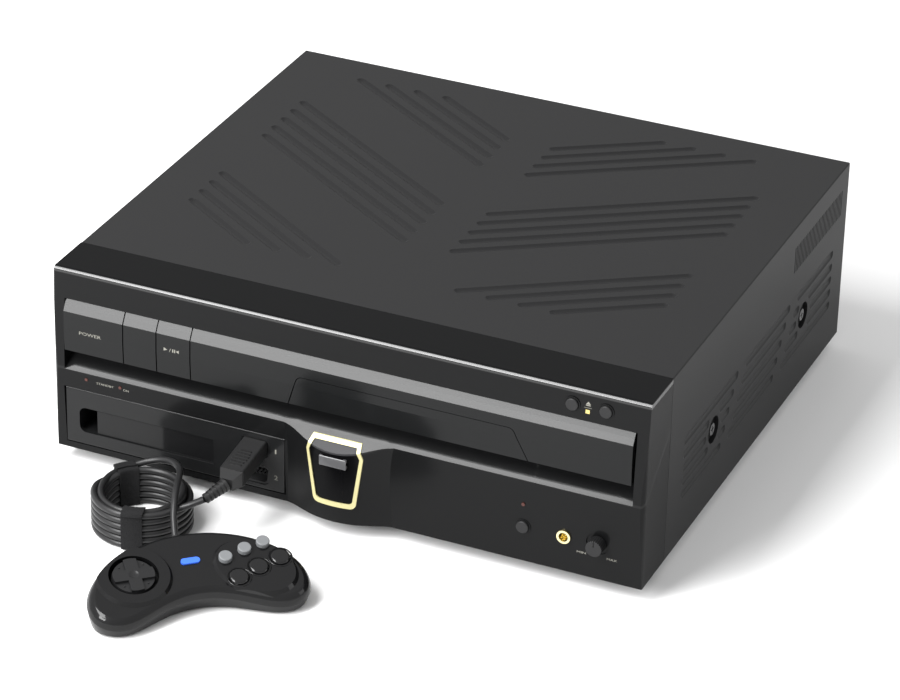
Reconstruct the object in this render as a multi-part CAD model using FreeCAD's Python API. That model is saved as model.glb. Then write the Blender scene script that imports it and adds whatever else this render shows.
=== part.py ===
"""Optical disc player with a plug-in control pack, a lead and a hand controller.

Millimetres. X runs along the front, +Y points to the back and +Z up; the floor is z = 0.
Sizes below are measured from the middle of the cabinet, and main() then moves everything
back a little, so that the origin lies under the middle of the whole part.
"""
import FreeCAD, Part
import math
import os

V = FreeCAD.Vector

# ---- cabinet -----------------------------------------------------------------
BODY_W = 420.0
HALF_W = BODY_W / 2
FRONT_Y = -190.0          # top edge of the front
REAR_Y = 188.0
BODY_Z0 = 10.0
BODY_Z1 = 144.0
SHEET = 1.6               # cover sheet
COVER_FOLD = 0.9          # outer radius of the cover's two long folds
SEAM_Y = -153.0           # where the cover meets the front moulding
SEAM_GAP = 0.4
INNER_HALF = HALF_W - SHEET - 0.2
CHASSIS_T = 1.5
FLOOR_TOP = BODY_Z0 + CHASSIS_T
WALL = 2.5                # front moulding wall
BOW = [(-191.6, BODY_Z0), (-193.2, 40.0), (-194.0, 70.0), (-193.2, 96.0), (-191.2, 124.0),
       (-190.2, BODY_Z1 - 3.0)]
TOP_R = 3.0
CORNER_R = 4.0

# ---- pressed grooves and vents in the cover ------------------------------------
GROOVE_X = -1.5           # line that the two halves mirror about
GROOVE_IN = 18.2
GROOVE_OUT = HALF_W - 39.2
GROOVE_PITCH = 15.0
GROOVE_SLOPE = math.tan(math.radians(33.8))
GROOVE_HALF = 3.1         # half width at the sheet's face
GROOVE_DEPTH = 1.1
GROOVE_R = (GROOVE_HALF ** 2 + GROOVE_DEPTH ** 2) / (2 * GROOVE_DEPTH)
GROOVE_TOP_Y = (159.3, -105.3)
GROOVE_MID_Y = 4.3        # inner end of the middle group's first groove
GROOVE_FRONT_Y = -20.0    # outer end of the front group's first groove
GROOVE_REAR_Y = 116.0     # inner end of the rear group's first groove
SIDE_Z = 84.3
SIDE_PITCH = 10.0
SIDE_STEP = 7.0           # each row starts this much nearer the front
SIDE_FRONT = (-124.0, -29.5)
SIDE_MID = (-9.6, 72.3)
SIDE_REAR = (92.5, 161.0)
SCREW_Y = (-70.3, 104.5)
SCREW_Z = SIDE_Z - 2 * SIDE_PITCH
DISH_R = 9.5
DISH_DEPTH = 3.2
TAB_OUT = DISH_DEPTH + SHEET   # screw tabs stand this far inside the cover
TAB_T = 1.2
DISH_CLEAR = 13.5         # grooves stop this far from a dish's middle
VENT_Y = (79.0, 176.0)
VENT_Z = (108.5, 128.0)
VENT_PITCH = 3.0
VENT_SLOT = 1.2

# ---- door, keys and trays --------------------------------------------------------
BAY_SIDE = 8.0            # side cheek beside the row of door and keys
BAY_HALF = HALF_W - BAY_SIDE
BAY_Z0 = 84.5
BAY_Z1 = 122.6
GAP = 0.4
DOOR_TOP = 121.8
DOOR_BACK = -187.0
KEY_LINES = (-BAY_HALF, -157.7, -133.2, -108.4, BAY_HALF - 1.7)
CD_R = 60.0
TRAY_Z0 = 87.0
TRAY_T = 11.0
TRAY_X = (-105.0, BAY_HALF - 5.0)
DISC_X = (TRAY_X[0] + TRAY_X[1]) / 2
DISC_Y = -22.0
LD_R = (TRAY_X[1] - TRAY_X[0]) / 2 - 1.0
TRAY_Y1 = 170.0
CD_HALF = 72.0
CD_TRAY_Z0 = TRAY_Z0 + 3.0
CD_TRAY_T = 4.5
CD_TRAY_Y1 = 98.0
TRAY_CLEAR = 0.4
DISC_PLAY = 2.0
CD_DOOR = [(DISC_X - 77.0, 106.4), (DISC_X + 73.0, 106.4), (DISC_X + 83.9, 85.3),
           (DISC_X - 83.3, 85.3)]
RAIL_T = 3.0
RAIL_TOP = TRAY_Z0 + TRAY_T + 3.0
SLOT_HALF = 27.0          # tray slot over the pickup
TABLE_R = 33.0

# ---- disc drive ------------------------------------------------------------------
DECK_Z = 62.0
DECK_T = 2.0
DECK_HALF = 62.0
DECK_Y = (-75.0, 150.0)
TABLE_Z = 80.0
TABLE_T = 4.0
SPINDLE_R = 3.0
RUN_FIT = 0.05
ROD_R = 3.0
ROD_X = 38.0
CLAMP_R = 30.0
BRIDGE_Z = 112.0
PINION_TEETH = 14
MODULE = 1.5
PITCH_R = MODULE * PINION_TEETH / 2
BACKLASH = 0.5
PINION_T = 5.0
PITCH = math.pi * MODULE
PINION_Y = -150.0
RACK_LINE = TRAY_Z0 + 1.0
PINION_Z = RACK_LINE - PITCH_R
RACK_X = (TRAY_X[0] + 9.5, TRAY_X[0] + 9.5 + PINION_T)
RACK_Y = (-181.0, 164.0)
DECK_LEG_Y = (-66.0, 133.5)
GUIDE_X = 54.0
GUIDE_Y = (-60.0, 135.0)
GUIDE_R = 3.0
FRAME_Z = (50.0, 52.0)

# ---- ledge and centre bulge --------------------------------------------------------
LEDGE = [(-207.0, 59.8), (-194.7, 70.5), (-187.0, 76.0), (-182.4, 80.6), (-180.5, 85.5)]
BULGE = [(-46.0, -190.4), (-39.5, -191.5), (-34.0, -193.0), (-27.5, -195.7), (-19.5, -198.9), (-11.0, -201.0),
         (-1.5, -201.8), (8.0, -201.0), (16.5, -198.9), (24.5, -195.7), (31.0, -193.0), (36.5, -191.5),
         (43.0, -190.4)]
BULGE_LEAN = 0.045        # forward lean per mm of height
EMBLEM_X = -0.8
EMBLEM = [(14.8, 22.5), (20.0, 61.0), (17.2, 70.2)]   # half width and height, bottom to top
EMBLEM_R = 4.2
FRAME_W = 2.1
FRAME_BAR = 5.5
FRAME_T = 0.9
WINDOW_BACK = -195.5

# ---- controls ------------------------------------------------------------------------
TOP_BUTTONS = {"open_button": (HALF_W - 52.4, 132.2), "stop_button": (HALF_W - 29.7, 132.2)}
MEMORY = (HALF_W - 81.8, 36.4)
BUTTON_R = 4.3
BUTTON_GAP = 0.25
RING_W = 0.9
PHONES = (HALF_W - 53.5, 36.5)
PHONES_R = 3.2
PHONES_DEPTH = 14.0
KNOB = (HALF_W - 30.5, 37.0)
KNOB_R = 5.7
KNOB_RECESS_R = 7.9
LAMPS = [(MEMORY[0] + 0.1, 53.2, 1.3), (-HALF_W + 24.2, 66.4, 1.2), (-HALF_W + 49.4, 66.4, 1.2)]

# ---- back -------------------------------------------------------------------------------
REAR_T = 1.6
JACKS = [(x, z) for x in (60.0, 78.0, 96.0, 114.0) for z in (36.0, 54.0)]
JACK_BORE_R = 1.7
JACK_REACH = 7.0
INLET = (-HALF_W + 50.0, 40.0)

# ---- control pack ---------------------------------------------------------------------
PACK_X = (-BAY_HALF, -41.0)
PACK_Z = (15.5, 57.0)
PACK_FACE_Y = -192.6
PACK_Y1 = 40.0
PACK_WALL = 2.0
PACK_GAP = 0.8
BAY_CLEAR = 0.6
BAY_SHEET = 1.2
BAY_TOP = PACK_Z[1] + BAY_CLEAR + BAY_SHEET
SLOT_X = (PACK_X[0] + 9.5, -92.7)
SLOT_Z = (24.8, 43.4)
FLAP_T = 2.0
FLAP_Y = PACK_FACE_Y + 1.4
FLAP_HINGE = (FLAP_Y + FLAP_T / 2, SLOT_Z[1] - FLAP_T / 2 - 0.1)
FLAP_X0 = SLOT_X[0] + 12.3
CART_DEPTH = 72.0
PORT_X = -62.0
PORT_ZS = (46.0, 25.7)
PORT_W = 18.0
PORT_H = 10.8
PORT_R = 2.4

# ---- plug, lead and coil ---------------------------------------------------------------
CORD_D = 4.5
PLUG_W = 17.0
PLUG_H = 12.0
PLUG_TIP = (-62.0, -235.0, 40.4)
PLUG_BODY = 34.0
LEAD = [(-70.0, -249.7, 34.9), (-77.5, -251.0, 30.3), (-84.5, -254.0, 26.9), (-90.0, -258.6, 25.0),
        (-94.6, -264.6, 24.75)]
TAIL = [(-140.6, -219.7, 25.0), (-132.0, -213.6, 28.0), (-122.0, -211.2, 31.0), (-112.0, -213.6, 33.2),
        (-103.4, -220.4, 34.6), (-98.2, -230.0, 35.4), (-94.4, -240.2, 36.0), (-90.9, -250.4, 34.6),
        (-87.2, -259.4, 30.5), (-83.4, -267.8, 23.9), (-78.6, -274.6, 17.6)]
COIL_C = (-119.0, -243.5)
COIL_R = 31.6
COIL_TURNS = 6
TIE_W = 14.0
TIE_T = 1.0
TIES = (-74.0, 138.0)    # directions from the coil's middle, degrees

# ---- hand controller --------------------------------------------------------------------
PAD_C = (-51.5, -305.5)
PAD_TURN = 41.2
PAD_TILT = 17.0           # slope of the seam and the face, higher at the cord
PAD_HEEL = (-38.0, 1.5)   # point of the sloping axes that the tilt keeps at the floor
PAD_OUTLINE = [(0.0, 30.4), (29.0, 25.8), (49.0, 15.9), (65.0, 0.5), (71.6, -17.0), (68.0, -32.0),
               (54.0, -39.2), (42.0, -36.9), (21.0, -27.1), (0.0, -22.7)]
PAD_Z0 = 1.5
PAD_SEAM = 9.0
PAD_TOP = 15.8
PAD_WALL = 2.0
LOBE_X = 38.9
LOBE_Y = -2.7
LOBE_R = 25.0
LOBE_H = 2.2
LOBE_LONG = 1.2           # the button group's plateau is oval
LOBE_SHORT = 0.92
LOBE_TURN = -40.0
DPAD_R = 14.2
BUTTONS_LOW = {"button_a": (25.8, -16.7), "button_b": (40.1, -10.5), "button_c": (55.3, -5.3)}
BUTTONS_TOP = {"button_x": (21.0, 0.3), "button_y": (34.5, 5.0), "button_z": (47.3, 8.3)}
LOW_R = 6.4
TOP_BTN_R = 4.4
START_LEN = 13.0
START_W = 4.6
PAD_BOARD_Z = 6.8
KEY_Z = PAD_BOARD_Z + 4.4   # underside of the controller's buttons
KEY_CLEAR = 0.3
PAD_DECK = PAD_TOP + LOBE_H
DPAD_PIVOT = (-LOBE_X, LOBE_Y, PAD_TOP - 4.6)
DPAD_BALL_R = 2.6
START = (-0.8, 3.7)
RELIEF_FOOT = (-67.9, -286.8, 12.5)
RELIEF_MOUTH = TAIL[-1]


# ---- small builders -----------------------------------------------------------------------
def box(x, y, z):
    """Box from three (low, high) pairs."""
    return Part.makeBox(x[1] - x[0], y[1] - y[0], z[1] - z[0], V(x[0], y[0], z[0]))


def cyl(r, start, end):
    """Round bar between two points."""
    a, b = V(*start), V(*end)
    return Part.makeCylinder(r, (b - a).Length, a, b - a)


def ring(r_out, r_in, start, end):
    """Tube between two points."""
    return cyl(r_out, start, end).cut(cyl(r_in, start, end))


def face_of(points):
    """Flat face from corner points."""
    return Part.Face(Part.makePolygon([V(*p) for p in points] + [V(*points[0])]))


def slab_yz(points, x):
    """Outline of (y, z) points, extruded along X."""
    return face_of([(x[0], y, z) for y, z in points]).extrude(V(x[1] - x[0], 0, 0))


def slab_xz(points, y):
    """Outline of (x, z) points, extruded along Y."""
    return face_of([(px, y[0], pz) for px, pz in points]).extrude(V(0, y[1] - y[0], 0))


def slab_xy(points, z):
    """Outline of (x, y) points, extruded along Z."""
    return face_of([(px, py, z[0]) for px, py in points]).extrude(V(0, 0, z[1] - z[0]))


def fuse(shapes):
    """One solid out of several that touch."""
    whole = shapes[0].fuse(shapes[1:]) if len(shapes) > 1 else shapes[0]
    return whole.removeSplitter()


def cut(base, tools):
    """Base without the tools."""
    return base.cut(tools)


def spline(points, closed=False):
    """Smooth curve through points."""
    curve = Part.BSplineCurve()
    curve.interpolate(Points=[V(*p) for p in points], PeriodicFlag=closed)
    return curve.toShape()


def loft(*wires):
    """Ruled solid through closed wires."""
    return Part.makeLoft(list(wires), True, True)


def rounded(shape, radius, keep):
    """Shape with the edges that keep(edge) picks rounded."""
    return shape.makeFillet(radius, [e for e in shape.Edges if keep(e)])


def upright(edge):
    """True for a straight edge along Z."""
    ends = [v.Point for v in edge.Vertexes]
    return len(ends) == 2 and (ends[0] - ends[1]).cross(V(0, 0, 1)).Length < 1e-6


def along_y(edge):
    """True for a straight edge along Y."""
    ends = [v.Point for v in edge.Vertexes]
    return len(ends) == 2 and (ends[0] - ends[1]).cross(V(0, 1, 0)).Length < 1e-6


def stadium(x, z, half, r, y):
    """Rounded bar outline around (x, z), extruded along Y."""
    mid = box((x - half, x + half), y, (z - r, z + r))
    ends = [cyl(r, (x + s * half, y[0], z), (x + s * half, y[1], z)) for s in (-1, 1)]
    return fuse([mid] + ends)


# ---- front moulding --------------------------------------------------------------------------
def plan_outline(front, back, z, height):
    """Block with rounded front corners."""
    block = box((-HALF_W, HALF_W), (front, back), (z, z + height))
    return rounded(block, CORNER_R, lambda e: upright(e) and e.Vertexes[0].Y < front + 1)


def bow_profile():
    """Side profile of the front, gently bowed, as a solid across the width."""
    line = [(0, y, z) for y, z in BOW]
    curve = spline(line)
    top = V(0, BOW[-1][0], BOW[-1][1])
    mid = V(0, BOW[-1][0] + TOP_R * 0.3, BODY_Z1 - TOP_R * 0.28)
    end = V(0, BOW[-1][0] + TOP_R, BODY_Z1)
    arc = Part.Arc(top, mid, end).toShape()
    back_top = V(0, SEAM_Y, BODY_Z1)
    back_low = V(0, SEAM_Y, BODY_Z0)
    low = V(0, *BOW[0])
    rest = [Part.makeLine(end, back_top), Part.makeLine(back_top, back_low), Part.makeLine(back_low, low)]
    face = Part.Face(Part.Wire(Part.__sortEdges__([curve, arc] + rest)))
    face.translate(V(-HALF_W, 0, 0))
    return face.extrude(V(BODY_W, 0, 0))


def bulge_block(grow=0.0):
    """The swelling in the middle of the lower front."""
    curve = spline([(x, y - grow, BODY_Z0) for x, y in BULGE])
    first, last = V(BULGE[0][0], BULGE[0][1] - grow, BODY_Z0), V(BULGE[-1][0], BULGE[-1][1] - grow, BODY_Z0)
    back = -185.0
    a, b = V(last.x, back, BODY_Z0), V(first.x, back, BODY_Z0)
    edges = [curve, Part.makeLine(last, a), Part.makeLine(a, b), Part.makeLine(b, first)]
    height = BAY_Z0 - BODY_Z0
    return Part.Face(Part.Wire(edges)).extrude(V(0, -BULGE_LEAN * height, height))


def above_ledge(shift=0.0):
    """Everything in front of and above the sloping ledge."""
    y0 = -230.0
    curve = spline([(-BAY_HALF, y, z + shift) for y, z in LEDGE])
    first = V(-BAY_HALF, LEDGE[0][0], LEDGE[0][1] + shift)
    last = V(-BAY_HALF, LEDGE[-1][0], LEDGE[-1][1] + shift)
    corners = [last, V(-BAY_HALF, last.y, BAY_Z1), V(-BAY_HALF, y0, BAY_Z1), V(-BAY_HALF, y0, first.z), first]
    lines = [Part.makeLine(p, q) for p, q in zip(corners, corners[1:])]
    face = Part.Face(Part.Wire([curve] + lines))
    return face.extrude(V(2 * BAY_HALF, 0, 0))


def front_skin(grow=0.0):
    """Outer form of the whole front, solid."""
    form = bow_profile().common(plan_outline(-200.0 + 5.8, SEAM_Y, BODY_Z0, BODY_Z1 - BODY_Z0))
    if grow:
        form.translate(V(0, -grow, 0))
    return fuse([form, bulge_block(grow)]).cut(above_ledge(grow))


def emblem_outline(inset, bar, y):
    """Solid of the emblem's outline, extruded along Y, with round lower corners."""
    (w0, z0), (w1, z1), (w2, z2) = EMBLEM
    w0, w1, w2 = w0 - inset, w1 - inset, w2 - inset
    x, low = EMBLEM_X, z0 + bar
    pts = [(x - w0, low), (x + w0, low), (x + w1, z1), (x + w2, z2 - inset), (x - w2, z2 - inset),
           (x - w1, z1)]
    corners = lambda e: along_y(e) and e.Vertexes[0].Z < low + 0.1
    return rounded(slab_xz(pts, y), EMBLEM_R - inset / 2, corners)


def control_holes():
    """Round openings in the front for the buttons, the jack, the knob and the lamps."""
    tools = []
    for x, z in list(TOP_BUTTONS.values()) + [MEMORY]:
        tools.append(cyl(BUTTON_R + BUTTON_GAP, (x, -205, z), (x, -180, z)))
    tools.append(cyl(PHONES_R + 1.6, (PHONES[0], -205, PHONES[1]), (PHONES[0], -180, PHONES[1])))
    tools.append(cyl(KNOB_RECESS_R, (KNOB[0], -205, KNOB[1]), (KNOB[0], -192.2, KNOB[1])))
    tools.append(cyl(3.3, (KNOB[0], -205, KNOB[1]), (KNOB[0], -180, KNOB[1])))
    for x, z, r in LAMPS:
        tools.append(cyl(r, (x, -205, z), (x, -180, z)))
    return tools


def button_rings():
    """Raised rims round the three small buttons."""
    rims = []
    for x, z in list(TOP_BUTTONS.values()) + [MEMORY]:
        lift = -191.1 if z > 100 else -193.6
        inner = BUTTON_R + BUTTON_GAP
        rims.append(ring(inner + RING_W, inner, (x, lift, z), (x, lift + 2.5, z)))
    return rims


def front_fascia():
    """Front mouldings: the bezel with its header and cheeks, and the lower panel with ledge and bulge."""
    skin = front_skin()
    inside = HALF_W - WALL
    header = box((-inside, inside), (-187.5, SEAM_Y + 1), (BAY_Z1 + WALL, BODY_Z1 - WALL))
    doorway = box((-BAY_HALF, BAY_HALF), (-210, SEAM_Y + 1), (BAY_Z0, BAY_Z1))
    lower = slab_yz([(-189.2, BODY_Z0 + 3), (-190.6, 60), (-190.0, 68.5), (-184.5, 72.3), (-178.0, 78.5),
                     (-178.0, BAY_Z0 + 0.5), (SEAM_Y + 1, BAY_Z0 + 0.5), (SEAM_Y + 1, BODY_Z0 + 3)],
                    (-inside, inside))
    bay = box((PACK_X[0] - PACK_GAP, PACK_X[1] + PACK_GAP), (-215, -180),
              (PACK_Z[0] - PACK_GAP, PACK_Z[1] + PACK_GAP))
    pocket = emblem_outline(FRAME_W, FRAME_BAR - FRAME_W, (-215, WINDOW_BACK))
    behind = box((-inside, inside), (DOOR_BACK + 1, SEAM_Y + 1), (BAY_Z0, BAY_Z1))
    body = cut(skin, [header, doorway, behind, lower])
    body = cut(fuse([body] + button_rings()), [bay, pocket] + control_holes())
    bezel = box((-HALF_W, HALF_W), (-230, SEAM_Y + 1), (BAY_Z0, BODY_Z1))
    return Part.makeCompound([body.common(bezel), body.cut(bezel)])


def sensor_window():
    """Dark window that fills the emblem's middle, with its raised inner window."""
    pane = front_skin().common(emblem_outline(FRAME_W, FRAME_BAR - FRAME_W, (-215, WINDOW_BACK)))
    small = stadium(EMBLEM_X, 56.7, 6.6, 3.2, (-204.7, -203.0))
    return fuse([pane, small])


def emblem_frame():
    """Narrow rim round the window, folded over the ledge's edge."""
    proud = front_skin(FRAME_T).cut(front_skin())
    zone = emblem_outline(0, 0, (-215, WINDOW_BACK)).cut(emblem_outline(FRAME_W, FRAME_BAR - FRAME_W,
                                                                      (-215, WINDOW_BACK)))
    solid = proud.common(zone)
    return max(solid.Solids, key=lambda s: s.Volume)


def indicator_lamps():
    """Small lamps set in the front."""
    return Part.makeCompound([cyl(r - 0.1, (x, -194.4, z), (x, -188, z)) for x, z, r in LAMPS])


# ---- cabinet shell -----------------------------------------------------------------------------
def channel(start, end):
    """Round-bottomed channel with round ends between two points on a sheet, as a cutter."""
    a, b = V(*start), V(*end)
    return fuse([cyl(GROOVE_R, start, end), Part.makeSphere(GROOVE_R, a), Part.makeSphere(GROOVE_R, b)])


def top_groove_ends():
    """Ends of each groove on the right half of the top, as ((x, y), (x, y)) pairs."""
    ends = []
    span = GROOVE_OUT - GROOVE_IN
    for i in range(4):
        y_in = GROOVE_REAR_Y - i * GROOVE_PITCH
        x_out = GROOVE_IN + (GROOVE_TOP_Y[0] - y_in) / GROOVE_SLOPE
        ends.append(((GROOVE_IN, y_in), (x_out, GROOVE_TOP_Y[0])))
    for i in range(5):
        y_in = GROOVE_MID_Y - i * GROOVE_PITCH
        ends.append(((GROOVE_IN, y_in), (GROOVE_OUT, y_in + span * GROOVE_SLOPE)))
    for i in range(4):
        y_out = GROOVE_FRONT_Y - i * GROOVE_PITCH
        x_in = GROOVE_OUT - (y_out - GROOVE_TOP_Y[1]) / GROOVE_SLOPE
        ends.append(((x_in, GROOVE_TOP_Y[1]), (GROOVE_OUT, y_out)))
    return ends


def side_groove_ends():
    """Ends of each groove on a side, as (y, y, z), stopping short of the screw dishes."""
    ends = []
    for row in range(5):
        z = SIDE_Z - row * SIDE_PITCH
        shift = row * SIDE_STEP
        spans = [(SIDE_FRONT[0], SIDE_FRONT[1] - shift), (SIDE_MID[0] - shift, SIDE_MID[1] - shift),
                 (SIDE_REAR[0] - shift, SIDE_REAR[1])]
        for y0, y1 in spans:
            for dish_y in SCREW_Y:
                reach = DISH_CLEAR ** 2 - (z - SCREW_Z) ** 2
                if reach > 0 and y0 < dish_y + DISH_CLEAR and y1 > dish_y - DISH_CLEAR:
                    half = math.sqrt(reach) + GROOVE_HALF
                    if dish_y - half - y0 > 3:
                        ends.append((y0, dish_y - half, z))
                    y0 = dish_y + half
            if y1 - y0 > 3:
                ends.append((y0, y1, z))
    return ends


def cover_grooves():
    """Cutters of all pressed channels."""
    lift = GROOVE_R - GROOVE_DEPTH
    tools = []
    for (x0, y0), (x1, y1) in top_groove_ends():
        for side in (-1, 1):
            z = BODY_Z1 + lift
            tools.append(channel((GROOVE_X + side * x0, y0, z), (GROOVE_X + side * x1, y1, z)))
    for y0, y1, z in side_groove_ends():
        for side in (-1, 1):
            x = side * (HALF_W + lift)
            tools.append(channel((x, y0, z), (x, y1, z)))
    return tools


def vent_slots():
    """Cutters of the upright vent slots near the top rear of both sides."""
    count = int((VENT_Y[1] - VENT_Y[0]) / VENT_PITCH) + 1
    tools = []
    for i in range(count):
        y = VENT_Y[0] + i * VENT_PITCH
        for side in (-1, 1):
            x = side * HALF_W
            tools.append(box((x - 4, x + 4), (y - VENT_SLOT / 2, y + VENT_SLOT / 2), VENT_Z))
    return tools


def top_cover():
    """Folded steel cover with pressed grooves, vents and sunk screw dishes."""
    y = (SEAM_Y + SEAM_GAP, REAR_Y)
    outer = box((-HALF_W, HALF_W), y, (BODY_Z0, BODY_Z1))
    outer = rounded(outer, COVER_FOLD, lambda e: along_y(e) and e.Vertexes[0].Z > BODY_Z1 - 1)
    inner = box((-HALF_W + SHEET, HALF_W - SHEET), (y[0] - 1, y[1] + 1), (BODY_Z0 - 1, BODY_Z1 - SHEET))
    shell = outer.cut(inner)
    cups, dishes = [], []
    for dish_y in SCREW_Y:
        for side in (-1, 1):
            out, deep = side * HALF_W, side * (HALF_W - DISH_DEPTH)
            cups.append(cyl(DISH_R + SHEET, (side * (HALF_W - 0.5), dish_y, SCREW_Z),
                            (side * (HALF_W - DISH_DEPTH - SHEET), dish_y, SCREW_Z)))
            dishes.append(cyl(DISH_R, (out + side, dish_y, SCREW_Z), (deep, dish_y, SCREW_Z)))
            dishes.append(cyl(2.2, (out, dish_y, SCREW_Z), (side * (HALF_W - 12), dish_y, SCREW_Z)))
    return cut(fuse([shell] + cups), dishes + cover_grooves() + vent_slots())


def cover_screws():
    """Pan-head screws in the side dishes."""
    screws = []
    for dish_y in SCREW_Y:
        for side in (-1, 1):
            seat = side * (HALF_W - DISH_DEPTH)
            head = cyl(4.2, (seat, dish_y, SCREW_Z), (seat + side * 2.4, dish_y, SCREW_Z))
            shank = cyl(2.0, (seat, dish_y, SCREW_Z), (seat - side * 9.0, dish_y, SCREW_Z))
            drive = box((seat + side * 1.9 - 0.5, seat + side * 1.9 + 0.5), (dish_y - 2.6, dish_y + 2.6),
                        (SCREW_Z - 0.5, SCREW_Z + 0.5))
            cross = box((seat + side * 1.9 - 0.5, seat + side * 1.9 + 0.5), (dish_y - 0.5, dish_y + 0.5),
                        (SCREW_Z - 2.6, SCREW_Z + 2.6))
            screws.append(cut(fuse([head, shank]), [drive, cross]))
    return Part.makeCompound(screws)


def base_chassis():
    """Pressed floor tray with turned-up edges, screw tabs and standoffs."""
    y = (SEAM_Y + 0.6, REAR_Y - 2.4)
    floor = box((-INNER_HALF, INNER_HALF), y, (BODY_Z0, FLOOR_TOP))
    sides = [box(sorted((s * INNER_HALF, s * (INNER_HALF - CHASSIS_T))), y, (BODY_Z0, 34.0)) for s in (-1, 1)]
    front = box((-36.0, INNER_HALF), (y[0], y[0] + CHASSIS_T), (BODY_Z0, 30.0))
    tabs = []
    for dish_y in SCREW_Y:
        for s in (-1, 1):
            x = sorted((s * (HALF_W - TAB_OUT), s * (HALF_W - TAB_OUT - TAB_T)))
            tabs.append(box(x, (dish_y - 12, dish_y + 12), (BODY_Z0, SCREW_Z + 10)))
            foot = sorted((s * (INNER_HALF - 0.5), s * (HALF_W - TAB_OUT - TAB_T)))
            tabs.append(box(foot, (dish_y - 12, dish_y + 12), (BODY_Z0, FLOOR_TOP + 1)))
    posts = [cyl(3.0, (x, py, FLOOR_TOP - 0.5), (x, py, 20.0))
             for x in (-20.0, 180.0) for py in (-110.0, 60.0, 150.0)]
    holes = [cyl(2.1, (s * (HALF_W - 1), d, SCREW_Z), (s * (HALF_W - 14), d, SCREW_Z))
             for d in SCREW_Y for s in (-1, 1)]
    return cut(fuse([floor, front] + sides + tabs + posts), holes)


def feet():
    """Four round feet under the floor tray."""
    made = []
    for x in (45.0 - HALF_W, HALF_W - 45.0):
        for y in (-135.0, 150.0):
            disc = cyl(21.0, (x, y, 0), (x, y, BODY_Z0))
            disc = disc.makeChamfer(1.5, [e for e in disc.Edges if e.BoundBox.ZMax < 0.1])
            made.append(disc)
    return Part.makeCompound(made)


def rear_panel():
    """Rear plate with holes for the sockets and the mains inlet."""
    y = (REAR_Y - 0.4 - REAR_T, REAR_Y - 0.4)
    plate = box((-INNER_HALF, INNER_HALF), y, (FLOOR_TOP + 0.2, BODY_Z1 - SHEET - 0.4))
    holes = [cyl(5.2, (x, y[0] - 1, z), (x, y[1] + 1, z)) for x, z in JACKS]
    holes.append(box((INLET[0] - 11, INLET[0] + 11), (y[0] - 1, y[1] + 1), (INLET[1] - 8, INLET[1] + 8)))
    slots = [box((x, x + 2.0), (y[0] - 1, y[1] + 1), (96.0, 118.0)) for x in range(-190, -100, 6)]
    return cut(plate, holes + slots)


def rear_jacks():
    """Block of eight round phono sockets at the back."""
    y = REAR_Y - 2.2
    block = box((50.0, 124.0), (y - 14, y - 0.1), (26.0, 64.0))
    sleeves = [cyl(4.1, (x, y - 1, z), (x, REAR_Y + JACK_REACH, z)) for x, z in JACKS]
    bores = [cyl(JACK_BORE_R, (x, y - 8, z), (x, REAR_Y + 8.0, z)) for x, z in JACKS]
    return cut(fuse([block] + sleeves), bores)


def mains_inlet():
    """Two-pin mains inlet at the back."""
    x, z = INLET
    y = REAR_Y - 0.4
    body = fuse([box((x - 10.8, x + 10.8), (y - 20, y), (z - 7.8, z + 7.8)),
                 box((x - 13, x + 13), (y, y + 1.6), (z - 10, z + 10))])
    hollow = box((x - 8.6, x + 8.6), (y - 12, y + 3), (z - 4.6, z + 4.6))
    pins = [cyl(1.15, (x + s * 4.2, y - 14, z), (x + s * 4.2, y - 2, z)) for s in (-1, 1)]
    return fuse([body.cut(hollow)] + pins)


# ---- keys and small controls ---------------------------------------------------------------------
KEY_FACE = [(-189.6, DOOR_TOP), (-191.8, 118.4), (-194.0, 114.2), (-194.4, 100.0), (-193.8, 85.3)]


def key_plate(x0, x1, back=DOOR_BACK):
    """Front plate of a key or door between two x positions."""
    return slab_yz(KEY_FACE + [(back, 85.3), (back, DOOR_TOP)], (x0, x1))


def front_key(index):
    """One of the three tall keys, with its stem."""
    x0, x1 = KEY_LINES[index] + GAP, KEY_LINES[index + 1] - GAP
    plate = key_plate(x0, x1)
    hollow = box((x0 + 1.6, x1 - 1.6), (DOOR_BACK - 4.0, DOOR_BACK + 1), (88.0, DOOR_TOP - 3))
    rim = box((x0 + 0.2, x1 - 0.2), (DOOR_BACK - 2.5, DOOR_BACK + 0.5), (86.0, DOOR_TOP - 1)).cut(hollow)
    mid = (x0 + x1) / 2
    stem = box((mid - 2.5, mid + 2.5), (DOOR_BACK - 0.5, -179.0), (100.0, 106.0))
    return fuse([plate, rim, stem])


def small_button(x, z, face_y):
    """Round push button with its stem."""
    cap = cyl(BUTTON_R, (x, face_y, z), (x, face_y + 5.0, z))
    cap = cap.makeFillet(0.8, [e for e in cap.Edges if e.BoundBox.YMax < face_y + 0.1])
    stem = cyl(1.6, (x, face_y + 4.5, z), (x, face_y + 11.0, z))
    return fuse([cap, stem])


def level_knob():
    """Headphone level knob on its shaft."""
    x, z = KNOB
    face = -200.6
    grip = cyl(KNOB_R, (x, face, z), (x, -192.8, z))
    grip = grip.makeFillet(0.8, [e for e in grip.Edges if e.BoundBox.YMax < face + 0.1])
    flutes = [cyl(0.45, (x + KNOB_R * math.cos(a), face - 1, z + KNOB_R * math.sin(a)),
                  (x + KNOB_R * math.cos(a), -192.7, z + KNOB_R * math.sin(a)))
              for a in [math.radians(15 * i) for i in range(24)]]
    mark = box((x - 0.4, x + 0.4), (face - 0.5, face + 0.5), (z + 1.5, z + KNOB_R + 0.5))
    shaft = cyl(3.0, (x, -193.5, z), (x, -179.0, z))
    return fuse([cut(grip, flutes + [mark]), shaft])


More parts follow.
